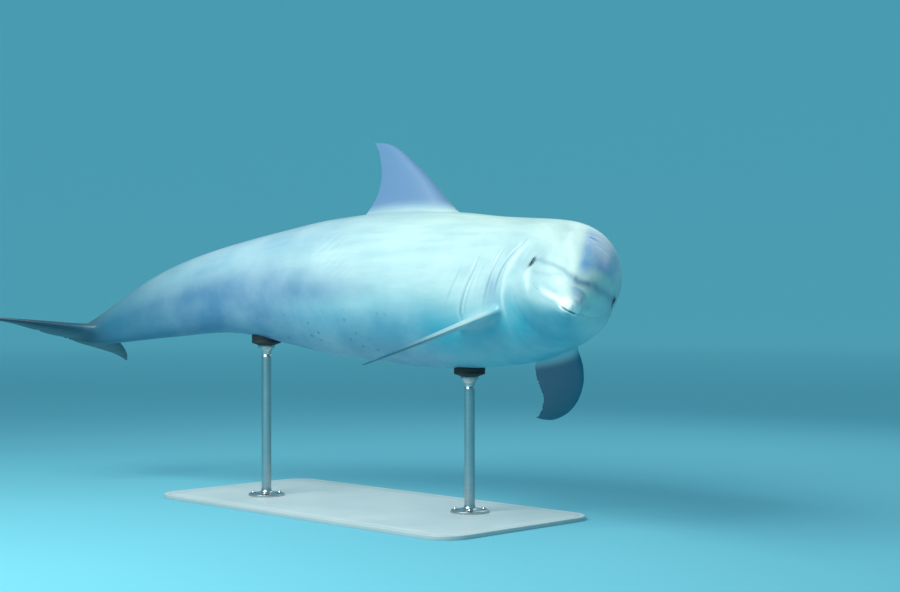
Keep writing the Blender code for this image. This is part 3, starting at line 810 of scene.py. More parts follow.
# painted shade round the left eye, on the side of the head away from the light
left_eye_shade = 0.20 * np.exp(-(np.hypot(aft - 0.315, height + 0.030) / 0.040) ** 2) * (side_way > 0.06)
# dark: the bridle marking together with painted shade in the folds and round the left eye
dark_and_shade = np.clip(bridle * head + left_eye_shade + 0.42 * np.maximum(fold_shade_and_highlight, 0), 0, 1)
slate_and_shade = np.clip(blaze_and_shade + 0.75 * beak_top, 0, 1)

lips_up = height - smooth(MOUTH, 1, aft)
band = np.interp(aft, (0.0, 0.02, 0.05, 0.11, 0.17), (0.026, 0.028, 0.020, 0.017, 0.018))
# pale upper lip, painted brighter on the right side as a painted highlight where the light falls
right_lip = ramp(-side_way, -0.012, 0.006)
upper_lip_and_highlight = (1 - ramp(lips_up, 0.45 * band, 1.15 * band)) * ramp(lips_up, -0.001, 0.002)
upper_lip_and_highlight = upper_lip_and_highlight * (1 - ramp(aft, 0.14, 0.21)) * (0.25 + 0.75 * right_lip)
# painted highlight on the beak's tip
beak_tip_highlight = (1 - ramp(aft, 0.012, 0.036)) * (1 - ramp(height, -0.034, -0.018))
beak_tip_highlight = beak_tip_highlight * ramp(lips_up, -0.008, -0.003)
# painted highlight on the right cheek, ahead of and below the eye
cheek_highlight = 0.50 * trail_mask(((0.312, 192), (0.285, 196), (0.266, 204)), 0.0150)
# pale streaks on the forehead; the first, round the blowhole, is a painted highlight on the blowhole's
# rim
FOREHEAD_STREAKS_AND_RIM_GLINT = (
    ((0.326, 98), (0.320, 90), (0.330, 80), (0.348, 71)), ((0.366, 88), (0.372, 76), (0.364, 68)),
    ((0.290, 84), (0.300, 74), (0.304, 64)),
)
forehead_streaks_and_rim_glint = sum(trail_mask(line, 0.0044) for line in FOREHEAD_STREAKS_AND_RIM_GLINT)
# painted highlight: a pale band along the right edge of the slate patch, where the forehead turns to
# the light
blaze_edge_highlight = 0.40 * trail_mask(((0.150, 112), (0.175, 112), (0.258, 118), (0.367, 120)), 0.0095)
# painted highlight: the lower jaw lightened on its right side only, where the light falls
lower_jaw = ramp(-lips_up, 0.001, 0.010) * (1 - ramp(aft, 0.20, 0.34)) * ramp(-side_way, -0.03, 0.02)
# pale: the white lip and pale streaks together with painted highlights
pale = upper_lip_and_highlight + beak_tip_highlight + cheek_highlight + (0.34 * forehead_streaks_and_rim_glint + blaze_edge_highlight) * head + 0.10 * lower_jaw
pale = np.clip(pale + 0.60 * np.maximum(-fold_shade_and_highlight, 0), 0, 1)
# deep, the darkest tone: painted shade in the mouth's groove at its tip, a dark ring round each eye,
# and painted shade on the flukes
mouth_line = np.exp(-(lips_up / np.interp(aft, (0.006, 0.03), (0.0026, 0.0012))) ** 2)
mouth_line = mouth_line * np.interp(aft, (0.006, 0.022), (0.9, 0.0))
deep = np.maximum(np.maximum(mouth_line, 0.95 * eye_ring), 0.96 * ramp(aft, 2.20, 2.42))

# low flanks and tail: a darker band, partly the animal's own tone and partly painted shade; the spot
# behind the cheek ridge is painted shade in a hollow
low_patch = 0.8 * np.exp(-((off_top - 113) / 17) ** 2) * ramp(aft, 1.02, 1.42)
low_patch = np.maximum(low_patch, 0.5 * spot_mask(0.610, 213, 0.036))
low_patch = np.maximum(low_patch, 0.52 * ramp(off_top, 112, 138) * ramp(aft, 0.78, 1.05))
low_tail = ramp(off_top, np.interp(aft, (1.5, 2.1, 2.4), (58, 40, 20)),
                np.interp(aft, (1.5, 2.1, 2.4), (108, 98, 90)))
low_band = low_patch + (low_tail - low_patch) * ramp(aft, 1.34, 1.66)
# belly: the underside's own tone with painted shade, painted a darker teal than the back
belly = ramp(off_top, np.interp(aft, (0.7, 1.0), (118, 104)), np.interp(aft, (0.7, 1.0), (160, 140)))
belly = belly * (1 - 0.35 * ramp(aft, 0.8, 1.2)) * (1 - ramp(aft, 1.5, 1.9))
specks = ramp(off_top, 124, 136) * ramp(aft, 0.98, 1.16) * (1 - ramp(aft, 1.56, 1.74))
# painted shade: the tail is painted darker towards its end, where the light falls off
tail_falloff_shade = 0.80 * ramp(aft, 1.66, 2.30)
# fins: their darker skin with painted shade; the left flipper and the flukes are painted fully dark as
# painted shade, the right flipper only towards its tip
fin_tone_and_shade = np.where(aft > 2.0, 0.95, np.where(side_way > 0, 1.0, 0.10 + 0.90 * ramp(lift, 0.08, 0.26)))

marks = {"belly": belly * off_fin, "dark_and_shade": dark_and_shade, "pale": pale, "deep": deep,
         "low_flank_and_shade": low_band * off_fin, "speck": specks * off_fin,
         "fin": np.maximum(on_fin * fin_tone_and_shade * (1 - top_fin), tail_falloff_shade), "slate_and_shade": slate_and_shade,
         "dorsal": ramp(lift, -0.002, 0.050) * top_fin,
         # back: painted light, the top of the fore body painted pale where light from above falls on
         # it
         "back": (1 - ramp(off_top, 44, 96)) * (1 - ramp(aft, 0.95, 1.45)) * off_fin,
         "cape": (1 - ramp(off_top, 58, 92)) * ramp(aft, 0.85, 1.7),
         "scratch": off_fin * (1 - ramp(off_top, 92, 114)) * (1 - ramp(aft, 1.35, 1.6))}
for name, values in marks.items():
    skin.data.attributes.new(name, "FLOAT", "POINT").data.foreach_set(
        "value", values.astype(np.float32))
skin.data.attributes.new("lie", "FLOAT_VECTOR", "POINT").data.foreach_set(
    "vector", straight.astype(np.float32).reshape(-1))


def tint(code):
    """An sRGB hex colour as linear red, green, blue and alpha."""
    parts = [int(code[k:k + 2], 16) / 255 for k in (1, 3, 5)]
    return [c / 12.92 if c <= 0.04045 else ((c + 0.055) / 1.055) ** 2.4 for c in parts] + [1.0]


def add(tree, kind, inputs=(), give=0, **settings):
    """Adds a node with its settings and links, and gives one of its outputs; an input is a
    value or another node's output."""
    made = tree.nodes.new(kind)
    for key, value in settings.items():
        setattr(made, key, value)
    for key, value in dict(inputs).items():
        if isinstance(value, bpy.types.NodeSocket):
            tree.links.new(value, made.inputs[key])
        else:
            made.inputs[key].default_value = value
    return made.outputs[give]


def new_material(name, **values):
    """A Principled material with its tree and shader node."""
    material = bpy.data.materials.new(name)
    material.use_nodes = True
    shader = material.node_tree.nodes["Principled BSDF"]
    for key, value in values.items():
        shader.inputs[key.replace("_", " ")].default_value = value
    return material, material.node_tree, shader


def wire(tree, shader, colour, gloss, relief, strength, height):
    """Leads a colour, a roughness and a relief of some height in metres to a shader."""
    bump = add(tree, "ShaderNodeBump", {"Height": relief, "Strength": strength,
                                        "Distance": height})
    for name, value in (("Base Color", colour), ("Roughness", gloss), ("Normal", bump)):
        tree.links.new(value, shader.inputs[name])


# living cetacean skin: rubbery, hairless and satin, under a film of water. It shows soft
# streaks 20 mm wide along the body, clouding, and fine ridges round it, drawn 6 mm apart
# where real ones are under 1 mm.
skin_paint, tree, shader = new_material("dolphin_skin_satin", IOR=1.40, Coat_Weight=0.22,
                                        Coat_Roughness=0.22)
lie = add(tree, "ShaderNodeAttribute", give="Vector", attribute_name="lie")
mark = {name: add(tree, "ShaderNodeAttribute", give="Fac", attribute_name=name)
        for name in marks}
along = add(tree, "ShaderNodeMapping", {"Vector": lie, "Scale": (3.2, 26.0, 26.0),
                                        "Rotation": (0.0, 0.10, 0.0)})
streaks = add(tree, "ShaderNodeTexNoise", {"Vector": along, "Scale": 1.0, "Detail": 5.0,
                                           "Roughness": 0.60})
streaks = add(tree, "ShaderNodeMapRange", {"Value": streaks, "From Min": 0.36, "From Max": 0.66})
cloud = add(tree, "ShaderNodeTexNoise", {"Vector": lie, "Scale": 6.5, "Detail": 4.0,
                                         "Roughness": 0.55})
cloud = add(tree, "ShaderNodeMapRange", {"Value": cloud, "From Min": 0.38, "From Max": 0.68})
grain = add(tree, "ShaderNodeTexNoise", {"Vector": lie, "Scale": 130.0, "Detail": 3.0})

# rake marks: short groups of pale parallel scratches 18 mm apart, left by other dolphins
where = add(tree, "ShaderNodeMapping", {"Vector": lie, "Location": (3.1, 1.7, 0.4),
                                        "Scale": (4.2, 6.5, 6.5)})
where = add(tree, "ShaderNodeTexNoise", {"Vector": where, "Scale": 1.0, "Detail": 0.0})
where = add(tree, "ShaderNodeMapRange", {"Value": where, "From Min": 0.62, "From Max": 0.68})
turned = add(tree, "ShaderNodeMapping", {"Vector": lie, "Rotation": (0.5, 0.6, 0.9)})
rake = add(tree, "ShaderNodeTexWave", {"Vector": turned, "Scale": 17.5, "Distortion": 0.7,
                                       "Detail": 2.0, "Detail Scale": 0.3}, give="Fac")
rake = add(tree, "ShaderNodeMapRange", {"Value": rake, "From Min": 0.975, "From Max": 1.0})
rake = add(tree, "ShaderNodeMath", {0: rake, 1: where}, operation="MULTIPLY")
rake = add(tree, "ShaderNodeMath", {0: rake, 1: mark["scratch"]}, operation="MULTIPLY")
# nicks: pale flecks 5 by 10 mm on the slate patches, in a quarter of the cells 16 by 32 mm.
# specks: round dark spots 9 mm wide, in about half of the cells 29 mm apart
stretched = add(tree, "ShaderNodeMapping", {"Vector": lie, "Scale": (0.5, 1.0, 1.2),
                                            "Rotation": (0.3, 0.4, 0.2)})
spots = {}
for name, place, scale, outer, inner, spared, where in (
        ("nick", stretched, 62.0, 0.22, 0.08, 0.72, "slate_and_shade"),
        ("speck", lie, 34.0, 0.25, 0.07, 0.45, "speck")):
    cells = add(tree, "ShaderNodeTexVoronoi", {"Vector": place, "Scale": scale})
    spot = add(tree, "ShaderNodeMapRange", {"Value": cells, "From Min": outer, "From Max": inner})
    picked = add(tree, "ShaderNodeSeparateColor", {"Color": cells.node.outputs["Color"]})
    picked = add(tree, "ShaderNodeMath", {0: picked, 1: spared}, operation="GREATER_THAN")
    spot = add(tree, "ShaderNodeMath", {0: spot, 1: picked}, operation="MULTIPLY")
    spots[name] = add(tree, "ShaderNodeMath", {0: spot, 1: mark[where]}, operation="MULTIPLY")

# the paint, from the ground colour up: each layer covers a share of those before it
slate_share = add(tree, "ShaderNodeMapRange", {"Value": streaks, "To Min": 0.66, "To Max": 0.98})
slate_share = add(tree, "ShaderNodeMath", {0: mark["slate_and_shade"], 1: slate_share},
                  operation="MULTIPLY")
colour = tint("#B8D2D3")
for cover, share, code in (
        (mark["back"], 1.0, "#D2E9E2"), (mark["cape"], 0.55, "#6E9FBE"),
        (mark["belly"], 1.0, "#22AABE"), (mark["low_flank_and_shade"], 0.92, "#4E7AA2"),
        (streaks, 0.27, "#6C98B4"), (cloud, 0.20, "#E2F0EF"),
        (mark["dorsal"], 1.0, "#6486AC"), (slate_share, 1.0, "#68A0D2"),
        (mark["fin"], 1.0, "#08627C"), (mark["dark_and_shade"], 1.0, "#456F98"),
        (mark["pale"], 1.0, "#F6FBF9"), (mark["deep"], 1.0, "#223E50"),
        (rake, 0.28, "#F6FBF9"), (spots["nick"], 0.45, "#F6FBF9"),
        (spots["speck"], 0.62, "#35566E")):
    cover = add(tree, "ShaderNodeMath", {0: cover, 1: share}, operation="MULTIPLY")
    colour = add(tree, "ShaderNodeMix", {0: cover, 6: colour, 7: tint(code)}, give=2,
                 data_type="RGBA")

gloss = add(tree, "ShaderNodeMapRange", {"Value": streaks, "To Min": 0.50, "To Max": 0.36})
ridges = add(tree, "ShaderNodeTexWave", {"Vector": lie, "Scale": 52.0, "Distortion": 3.0,
                                         "Detail": 2.0, "Detail Scale": 2.0}, give="Fac")
relief = add(tree, "ShaderNodeMath", {0: ridges, 1: 0.10}, operation="MULTIPLY")
relief = add(tree, "ShaderNodeMath", {0: grain, 1: 0.35, 2: relief}, operation="MULTIPLY_ADD")
for dent, depth in ((rake, -0.8), (spots["speck"], -0.5)):
    relief = add(tree, "ShaderNodeMath", {0: dent, 1: depth, 2: relief},
                 operation="MULTIPLY_ADD")
wire(tree, shader, colour, gloss, relief, 0.45, 0.0010)
skin.data.materials.append(skin_paint)
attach(skin, "root")
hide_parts("head", "upper_jaw", "lower_jaw", "trunk", "tail_stock", "dorsal_fin",
            "flipper_left", "flipper_right", "fluke_left", "fluke_right")

# ---------------------------------------------------------------- eyeballs
# Each eyeball is a wet glassy ball. Behind its clear front lies a dark brown iris with a
# wide dark pupil, and round that a grey-brown white of the eye that fades under the lids.
EYE_LINES, EYE_RINGS = 48, 40
CORNEA_RISE = 0.0003              # of the cornea over the rest of the ball


def turned_row(x, y, r, z, count):
    """Points round an upright axis, or one point where the radius r is 0."""
    turn = 2 * math.pi * np.arange(count if r > 0 else 1) / count
    return np.stack([x + r * np.cos(turn), y + r * np.sin(turn), z + 0 * turn], -1)


def join_rows(rows):
    """Quads between rings of points that lie in order; an end ring may be one point."""
    polygons, low = [], 0
    for row, above in zip(rows[:-1], rows[1:]):
        high = low + len(row)
        for j in range(max(len(row), len(above))):
            corners = (low + j % len(row), low + (j + 1) % len(row),
                       high + (j + 1) % len(above), high + j % len(above))
            polygons.append(tuple(dict.fromkeys(corners)))
        low = high
    return polygons


def make_eye(side, name):
    rows = []
    for i in range(EYE_RINGS + 1):
        tilt = math.pi * i / EYE_RINGS
        r = EYE_RADIUS + CORNEA_RISE * (math.exp(-(tilt / 0.50) ** 2) - 1)
        wide = r * math.sin(tilt) if 0 < i < EYE_RINGS else 0
        rows.append(turned_row(0, 0, wide, r * math.cos(tilt), EYE_LINES))
    local = np.concatenate(rows)
    eye = make_mesh(name, bend(eye_points(*local.T, side)), join_rows(rows))
    eye.data.attributes.new("gaze", "FLOAT_VECTOR", "POINT").data.foreach_set(
        "vector", (local / EYE_RADIUS).astype(np.float32).reshape(-1))
    return eye


# a living eye: transparent cornea over pigment, so one deep gloss under a mirror-like coat
eye_gloss, tree, shader = new_material("wet_eye", Roughness=0.12, IOR=1.376, Coat_Weight=0.7,
                                       Coat_Roughness=0.02, Specular_IOR_Level=0.3)
gaze = add(tree, "ShaderNodeAttribute", give="Vector", attribute_name="gaze")
flat_gaze = add(tree, "ShaderNodeMapping", {"Vector": gaze, "Scale": (0.85, 1.0, 0.0)})
from_middle = add(tree, "ShaderNodeVectorMath", {0: flat_gaze}, give="Value", operation="LENGTH")
fibres = add(tree, "ShaderNodeTexNoise", {"Vector": gaze, "Scale": 26.0, "Detail": 4.0})
paint = add(tree, "ShaderNodeMix", {0: fibres, 6: tint("#1C0F09"), 7: tint("#35221A")},
            give=2, data_type="RGBA")
for start, end, code in ((0.66, 0.80, "#262321"), (0.34, 0.27, "#060708")):
    cover = add(tree, "ShaderNodeMapRange", {"Value": from_middle, "From Min": start,
                                             "From Max": end})
    paint = add(tree, "ShaderNodeMix", {0: cover, 6: paint, 7: tint(code)}, give=2,
                data_type="RGBA")
tree.links.new(paint, shader.inputs["Base Color"])
for side, name in ((1, "eye_left"), (-1, "eye_right")):
    eye = make_eye(side, name + "_ball")
    eye.data.materials.append(eye_gloss)
    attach(eye, "root")
    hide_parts(name)

# ---------------------------------------------------------------- stand base
# A laser-cut steel plate with rounded corners and a soft edge, a fine line milled round its
# top, powder coated pale grey. It lies flat on the floor and carries both rods.
(base_x0, base_y0, base_z0), (base_x1, base_y1, _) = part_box("stand_base")
BASE_CORNER = 0.08
BASE_PROFILE = (
    (0.0300, 0.0), (0.0008, 0.0), (0.0002, 0.0002), (0.0, 0.0008), (0.0, 0.0092),
    (0.0004, 0.0105), (0.0014, 0.0116), (0.0028, 0.0120), (0.0170, 0.0120), (0.0176, 0.0117),
    (0.0182, 0.0111), (0.0198, 0.0111), (0.0204, 0.0117), (0.0210, 0.0120), (0.0500, 0.0120),
    (0.0760, 0.0120),
)                                 # inset from the outline, height
CORNER_STEPS = 14
base_rows = []
for inset, rise in BASE_PROFILE:
    row = []
    for k, (sx, sy) in enumerate(((1, 1), (-1, 1), (-1, -1), (1, -1))):
        x = (base_x0 + base_x1) / 2 + sx * ((base_x1 - base_x0) / 2 - BASE_CORNER)
        y = (base_y0 + base_y1) / 2 + sy * ((base_y1 - base_y0) / 2 - BASE_CORNER)
        for turn in np.linspace(k * math.pi / 2, (k + 1) * math.pi / 2, CORNER_STEPS):
            row.append((x + (BASE_CORNER - inset) * math.cos(turn),
                        y + (BASE_CORNER - inset) * math.sin(turn), base_z0 + rise))
    base_rows.append(row)
base_faces = join_rows(base_rows)
around = 4 * CORNER_STEPS
for first in (0, (len(BASE_PROFILE) - 1) * around):
    for j in range(around // 2 - 1):
        base_faces.append((first + j, first + j + 1,
                           first + around - 2 - j, first + around - 1 - j))
base = make_mesh("base_plate", np.concatenate(base_rows), base_faces)

# powder-coated steel: an even satin paint with a fine orange peel, ripples 2 mm apart, and
# greyer below the top face, in the milled line and down the edge
coat, tree, shader = new_material("powder_coated_steel", IOR=1.50)
place = add(tree, "ShaderNodeTexCoord", give="Object")
peel = add(tree, "ShaderNodeTexNoise", {"Vector": place, "Scale": 480.0, "Detail": 2.0})
smudge = add(tree, "ShaderNodeTexNoise", {"Vector": place, "Scale": 5.0, "Detail": 5.0,
                                          "Roughness": 0.6})
tone = add(tree, "ShaderNodeMapRange", {"Value": smudge, "From Min": 0.3, "From Max": 0.7})
paint = add(tree, "ShaderNodeMix", {0: tone, 6: tint("#C9D3D6"), 7: tint("#D6DEE0")},
            give=2, data_type="RGBA")
level = add(tree, "ShaderNodeSeparateXYZ", {"Vector": place}, give="Z")
below_top_grey = add(tree, "ShaderNodeMapRange", {"Value": level, "From Min": 0.01195, "From Max": 0.0112})
share = add(tree, "ShaderNodeMath", {0: below_top_grey, 1: 0.45}, operation="MULTIPLY")
paint = add(tree, "ShaderNodeMix", {0: share, 6: paint, 7: tint("#8E999D")},
            give=2, data_type="RGBA")
sheen = add(tree, "ShaderNodeMapRange", {"Value": smudge, "To Min": 0.36, "To Max": 0.50})
wire(tree, shader, paint, sheen, peel, 0.25, 0.0004)
base.data.materials.append(coat)
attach(base, "root")
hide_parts("stand_base")

# ---------------------------------------------------------------- stand rods
# Two rods turned from 30 mm stainless bar. Each has a wide foot flange with a coved neck,
# screwed to the plate, and a collar on top that carries the rubber cup.
ROD_RADIUS = 0.015
FOOT_PROFILE = (
    (0.0, 0.0), (0.0300, 0.0), (0.0544, 0.0), (0.0550, 0.0006), (0.0550, 0.0050),
    (0.0547, 0.0056), (0.0540, 0.0060), (0.0320, 0.0080), (0.0250, 0.0087), (0.0215, 0.0096),
    (0.0190, 0.0112), (0.0172, 0.0138), (0.0160, 0.0170), (0.0152, 0.0205), (0.0150, 0.0240),
    (0.0150, 0.0400),
)                                 # radius, height above the plate
COLLAR_PROFILE = (
    (0.0150, -0.0400), (0.0150, -0.0300), (0.0143, -0.0296), (0.0143, -0.0282),
    (0.0150, -0.0278), (0.0150, -0.0235), (0.0155, -0.0212), (0.0168, -0.0178),
    (0.0190, -0.0142), (0.0220, -0.0110), (0.0248, -0.0092), (0.0258, -0.0084),
    (0.0260, -0.0076), (0.0260, -0.0010), (0.0256, -0.0003), (0.0250, 0.0), (0.0120, 0.0),
    (0.0, 0.0),
)                                 # radius, height from the collar's top
ROD_LINES = 64

# brushed stainless steel: turning leaves fine rings, drawn 1.2 mm apart, that stretch each
# highlight along the rod, with faint finger smudges
steel, tree, shader = new_material("brushed_stainless_steel", Metallic=1.0)
place = add(tree, "ShaderNodeTexCoord", give="Object")
lathe = add(tree, "ShaderNodeMapping", {"Vector": place, "Scale": (6.0, 6.0, 820.0)})
rings_left = add(tree, "ShaderNodeTexNoise", {"Vector": lathe, "Scale": 1.0, "Detail": 3.0})
smudge = add(tree, "ShaderNodeTexNoise", {"Vector": place, "Scale": 22.0, "Detail": 4.0})
paint = add(tree, "ShaderNodeMix", {0: rings_left, 6: tint("#A9AEB1"), 7: tint("#CDD1D3")},
            give=2, data_type="RGBA")
sheen = add(tree, "ShaderNodeMapRange", {"Value": smudge, "To Min": 0.24, "To Max": 0.42})
wire(tree, shader, paint, sheen, rings_left, 0.3, 0.0003)

rod_feet = []
for end in ("front", "rear"):
    low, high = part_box("stand_rod_" + end)
    x, y = (low[0] + high[0]) / 2, (low[1] + high[1]) / 2
    rod_feet.append((x, y, low[2]))
    profile = [(r, low[2] + z) for r, z in FOOT_PROFILE]
    profile += [(ROD_RADIUS, z) for z in np.linspace(low[2] + 0.06, high[2] - 0.06, 12)]
    profile += [(r, high[2] + z) for r, z in COLLAR_PROFILE]
    rows = [turned_row(x, y, r, z, ROD_LINES) for r, z in profile]
    rod = make_mesh("rod_" + end, np.concatenate(rows), join_rows(rows))
    rod.data.materials.append(steel)
    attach(rod, "root")
    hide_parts("stand_rod_" + end)

# ---------------------------------------------------------------- flange screws
# Four button-head screws with hexagon sockets hold each flange down, each on a thin washer.
# Each head stops at its own turn when it is tightened.
SCREW_SIZES = {"Screws": 4, "Circle": 0.0410, "Head": 0.0062, "Height": 0.0042, "Turn seed": 7}
SCREW_RISE = 0.0092               # of the screw heads' undersides over the rods' feet
screw_tree = bpy.data.node_groups.new("flange_screws", "GeometryNodeTree")
for name, kind in (("Flanges", "Geometry"), ("Screws", "Int"), ("Circle", "Float"),
                   ("Head", "Float"), ("Height", "Float"), ("Turn seed", "Int"),
                   ("Finish", "Material")):
    screw_tree.interface.new_socket(name, in_out="INPUT", socket_type="NodeSocket" + kind)
screw_tree.interface.new_socket("Screws", in_out="OUTPUT", socket_type="NodeSocketGeometry")
given = screw_tree.nodes.new("NodeGroupInput").outputs
head_wide, washer_wide, socket_wide = (
    add(screw_tree, "ShaderNodeMath", {0: given["Head"], 1: part}, operation="MULTIPLY")
    for part in (0.62, 1.35, 0.42))
head_shape = add(screw_tree, "GeometryNodeMeshCone", {
    "Vertices": 32, "Side Segments": 3, "Radius Bottom": given["Head"], "Radius Top": head_wide,
    "Depth": given["Height"]})
washer = add(screw_tree, "GeometryNodeMeshCylinder", {
    "Vertices": 32, "Radius": washer_wide, "Depth": 0.0012})
socket_cut = add(screw_tree, "GeometryNodeMeshCylinder", {
    "Vertices": 6, "Radius": socket_wide, "Depth": 0.0060})
above = add(screw_tree, "ShaderNodeCombineXYZ", {"Z": given["Height"]})
socket_cut = add(screw_tree, "GeometryNodeTransform", {
    "Geometry": socket_cut, "Translation": above})
head_shape = add(screw_tree, "GeometryNodeMeshBoolean", {0: head_shape, 1: socket_cut},
                 operation="DIFFERENCE")
join = screw_tree.nodes.new("GeometryNodeJoinGeometry")
screw_tree.links.new(head_shape, join.inputs[0])
screw_tree.links.new(washer, join.inputs[0])
circle = add(screw_tree, "GeometryNodeMeshCircle", {
    "Vertices": given["Screws"], "Radius": given["Circle"]})
stop = add(screw_tree, "FunctionNodeRandomValue", {
    "Max": (0.0, 0.0, 6.283), "Seed": given["Turn seed"]}, data_type="FLOAT_VECTOR")
one_ring = add(screw_tree, "GeometryNodeInstanceOnPoints", {
    "Points": circle, "Instance": join.outputs[0], "Rotation": stop})
all_rings = add(screw_tree, "GeometryNodeInstanceOnPoints", {
    "Points": given["Flanges"], "Instance": one_ring, "Rotation": (0.0, 0.0, math.pi / 4)})
solid = add(screw_tree, "GeometryNodeRealizeInstances", {"Geometry": all_rings})
finished = add(screw_tree, "GeometryNodeSetMaterial", {
    "Geometry": solid, "Material": given["Finish"]})
screw_tree.links.new(finished, screw_tree.nodes.new("NodeGroupOutput").inputs[0])

flange_tops = bpy.data.meshes.new("flange_tops")
flange_tops.from_pydata([(x, y, z + SCREW_RISE) for x, y, z in rod_feet], [], [])
flanges = put("flange_tops", flange_tops)
screwing = flanges.modifiers.new("flange_screws", "NODES")
screwing.node_group = screw_tree
for item in screw_tree.interface.items_tree:
    if item.in_out == "INPUT" and item.name in SCREW_SIZES:
        screwing[item.identifier] = SCREW_SIZES[item.name]
    if item.in_out == "INPUT" and item.name == "Finish":
        screwing[item.identifier] = steel
graph = bpy.context.evaluated_depsgraph_get()
screws = put("flange_screws", bpy.data.meshes.new_from_object(
    flanges.evaluated_get(graph), depsgraph=graph))
bpy.data.objects.remove(flanges)
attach(screws, "root")

# ---------------------------------------------------------------- rubber cups
# A cup of black rubber sits on each rod, moulded with two grip grooves, and its top is
# dished to the belly so that the body rests on the whole of it.
CUP_RADIUS = 0.045
CUP_SIDE = ((0.0, 0.0), (0.0280, 0.0), (0.0296, 0.0004), (0.0310, 0.0014), (0.0425, 0.0052),
            (0.0440, 0.0061), (0.0449, 0.0074), (0.0450, 0.0090), (0.0450, 0.0112),
            (0.0442, 0.0118), (0.0442, 0.0128), (0.0450, 0.0134), (0.0450, 0.0152),
            (0.0442, 0.0158), (0.0442, 0.0168), (0.0450, 0.0174))
CUP_GAP = 0.0006                  # between the rubber and the skin


def belly_height(x, y, station):
    """Height of the belly above (x, y), near one station."""
    high = np.full(len(x), bend(np.array([[station, 0.0, 0.0]]))[0, 2])
    low = high - 0.35
    for _ in range(26):
        z = (low + high) / 2
        here = straighten(np.stack([x, y, z], -1), station)
        angle, away = polar(here)
        inside = away < radius(here[:, 0], angle)
        low, high = np.where(inside, low, z), np.where(inside, z, high)
    return (low + high) / 2


# moulded rubber: matt black with a slight grey bloom and a fine moulded grain, 0.8 mm
rubber, tree, shader = new_material("moulded_black_rubber", IOR=1.52)
place = add(tree, "ShaderNodeTexCoord", give="Object")
mould = add(tree, "ShaderNodeTexNoise", {"Vector": place, "Scale": 1200.0, "Detail": 2.0})
bloom = add(tree, "ShaderNodeTexNoise", {"Vector": place, "Scale": 40.0, "Detail": 4.0})
paint = add(tree, "ShaderNodeMix", {0: bloom, 6: tint("#16191B"), 7: tint("#2C3134")},
            give=2, data_type="RGBA")
sheen = add(tree, "ShaderNodeMapRange", {"Value": bloom, "To Min": 0.60, "To Max": 0.82})
wire(tree, shader, paint, sheen, mould, 0.3, 0.0003)

for end, station in (("front", 0.93), ("rear", 1.68)):
    low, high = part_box("stand_cup_" + end)
    x, y = (low[0] + high[0]) / 2, (low[1] + high[1]) / 2
    rows = [turned_row(x, y, r, low[2] + h, ROD_LINES) for r, h in CUP_SIDE]
    edge = turned_row(x, y, CUP_RADIUS, 0, ROD_LINES)
    edge_height = belly_height(edge[:, 0], edge[:, 1], station) - CUP_GAP
    for r, below in ((0.0450, 0.0022), (0.0447, 0.0010), (0.0440, 0.0003)):
        rows.append(turned_row(x, y, r, edge_height - below, ROD_LINES))
    for r in (0.0420, 0.0370, 0.0310, 0.0240, 0.0170, 0.0100, 0.0040, 0.0):
        row = turned_row(x, y, r, 0, ROD_LINES)
        row[:, 2] = belly_height(row[:, 0], row[:, 1], station) - CUP_GAP
        rows.append(row)
    cup = make_mesh("rubber_cup_" + end, np.concatenate(rows), join_rows(rows))
    cup.data.materials.append(rubber)
    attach(cup, "root")
    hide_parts("stand_cup_" + end)

# ---------------------------------------------------------------- floor and light
# A pale studio floor that sweeps up all round, a large soft light overhead, a weak one
# beyond, and a camera level with the animal, off its right bow.
SWEEP = ((0.0, 0.0), (9.0, 0.0), (14.0, 0.0), (20.0, 0.35), (27.0, 2.2), (33.0, 6.5),
         (37.0, 13.0))
SWEEP_LINES = 96
LIGHTS = (("main_light", (0.30, -2.35, 2.60), (2.4, 1.6), 118),
          ("fill_light", (-0.20, 3.00, 2.40), (2.6, 1.8), 18))      # place, size, watts
LIGHT_AIM = (0.3, -0.1, 0.65)
CAMERA_PLACE = (3.54517, -2.98264, 0.6296)
CAMERA_AIM = (-1, 1, 0)
CAMERA_LENS = 62.73               # mm, on a sensor 36 mm wide
radii = np.linspace(0.0, SWEEP[-1][0], 60)
sweep_rows = [turned_row(0, 0, r, z, SWEEP_LINES) for r, z in zip(radii, smooth(SWEEP, 1, radii))]
sweep = bpy.data.meshes.new("studio_floor")
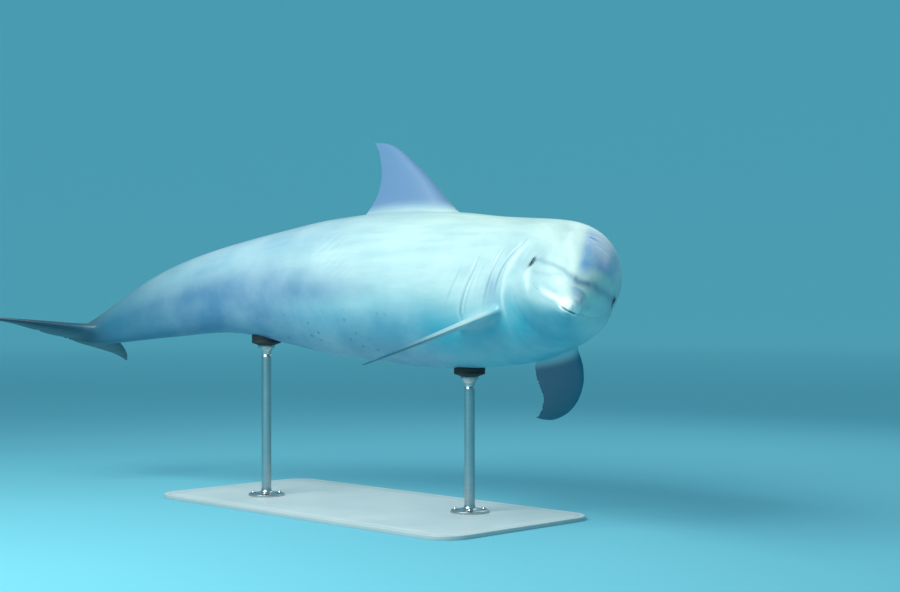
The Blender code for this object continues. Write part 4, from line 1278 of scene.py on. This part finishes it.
sweep.from_pydata(np.concatenate(sweep_rows).tolist(), [],
                  [corners[::-1] for corners in join_rows(sweep_rows)])
sweep.shade_smooth()
floor = put("studio_floor", sweep)

# emulsion on the floor: dead matt pale blue-green, clouded by the roller and paler far off
floor_paint, tree, shader = new_material("studio_floor_paint", Roughness=0.9)
place = add(tree, "ShaderNodeTexCoord", give="Object")
wash = add(tree, "ShaderNodeTexNoise", {"Vector": place, "Scale": 0.35, "Detail": 3.0})
paint = add(tree, "ShaderNodeMix", {0: wash, 6: tint("#6EC2D6"), 7: tint("#78C9DB")},
            give=2, data_type="RGBA")
far_out = add(tree, "ShaderNodeVectorMath", {0: place}, give="Value", operation="LENGTH")
far_out = add(tree, "ShaderNodeMapRange", {"Value": far_out, "From Min": 4.0, "From Max": 16.0})
paint = add(tree, "ShaderNodeMix", {0: far_out, 6: paint, 7: tint("#A0F0FC")},
            give=2, data_type="RGBA")
tree.links.new(paint, shader.inputs["Base Color"])
floor.data.materials.append(floor_paint)

world = bpy.data.worlds.new("studio")
world.use_nodes = True
world.node_tree.nodes["Background"].inputs["Color"].default_value = tint("#AEE4F4")
world.node_tree.nodes["Background"].inputs["Strength"].default_value = 0.50
bpy.context.scene.world = world

# the main light stands high on the animal's right; a weak one opens the shade on its left
for name, place, size, power in LIGHTS:
    lamp = bpy.data.lights.new(name, "AREA")
    lamp.shape = "RECTANGLE"
    lamp.size, lamp.size_y = size
    lamp.energy = power
    lamp.color = tint("#FBFFF8")[:3]
    holder = put(name, lamp)
    holder.location = place
    holder.rotation_mode = "QUATERNION"
    away = Vector(LIGHT_AIM) - holder.location
    holder.rotation_quaternion = away.to_track_quat("-Z", "Y")
    holder.visible_camera = False
bpy.context.scene.view_settings.view_transform = "Standard"

camera_data = bpy.data.cameras.new("camera")
camera_data.sensor_width = 36.0
camera_data.lens = CAMERA_LENS
camera = put("camera", camera_data)
camera.location = CAMERA_PLACE
camera.rotation_mode = "QUATERNION"
camera.rotation_quaternion = Vector(CAMERA_AIM).normalized().to_track_quat("-Z", "Y")
bpy.context.scene.camera = camera
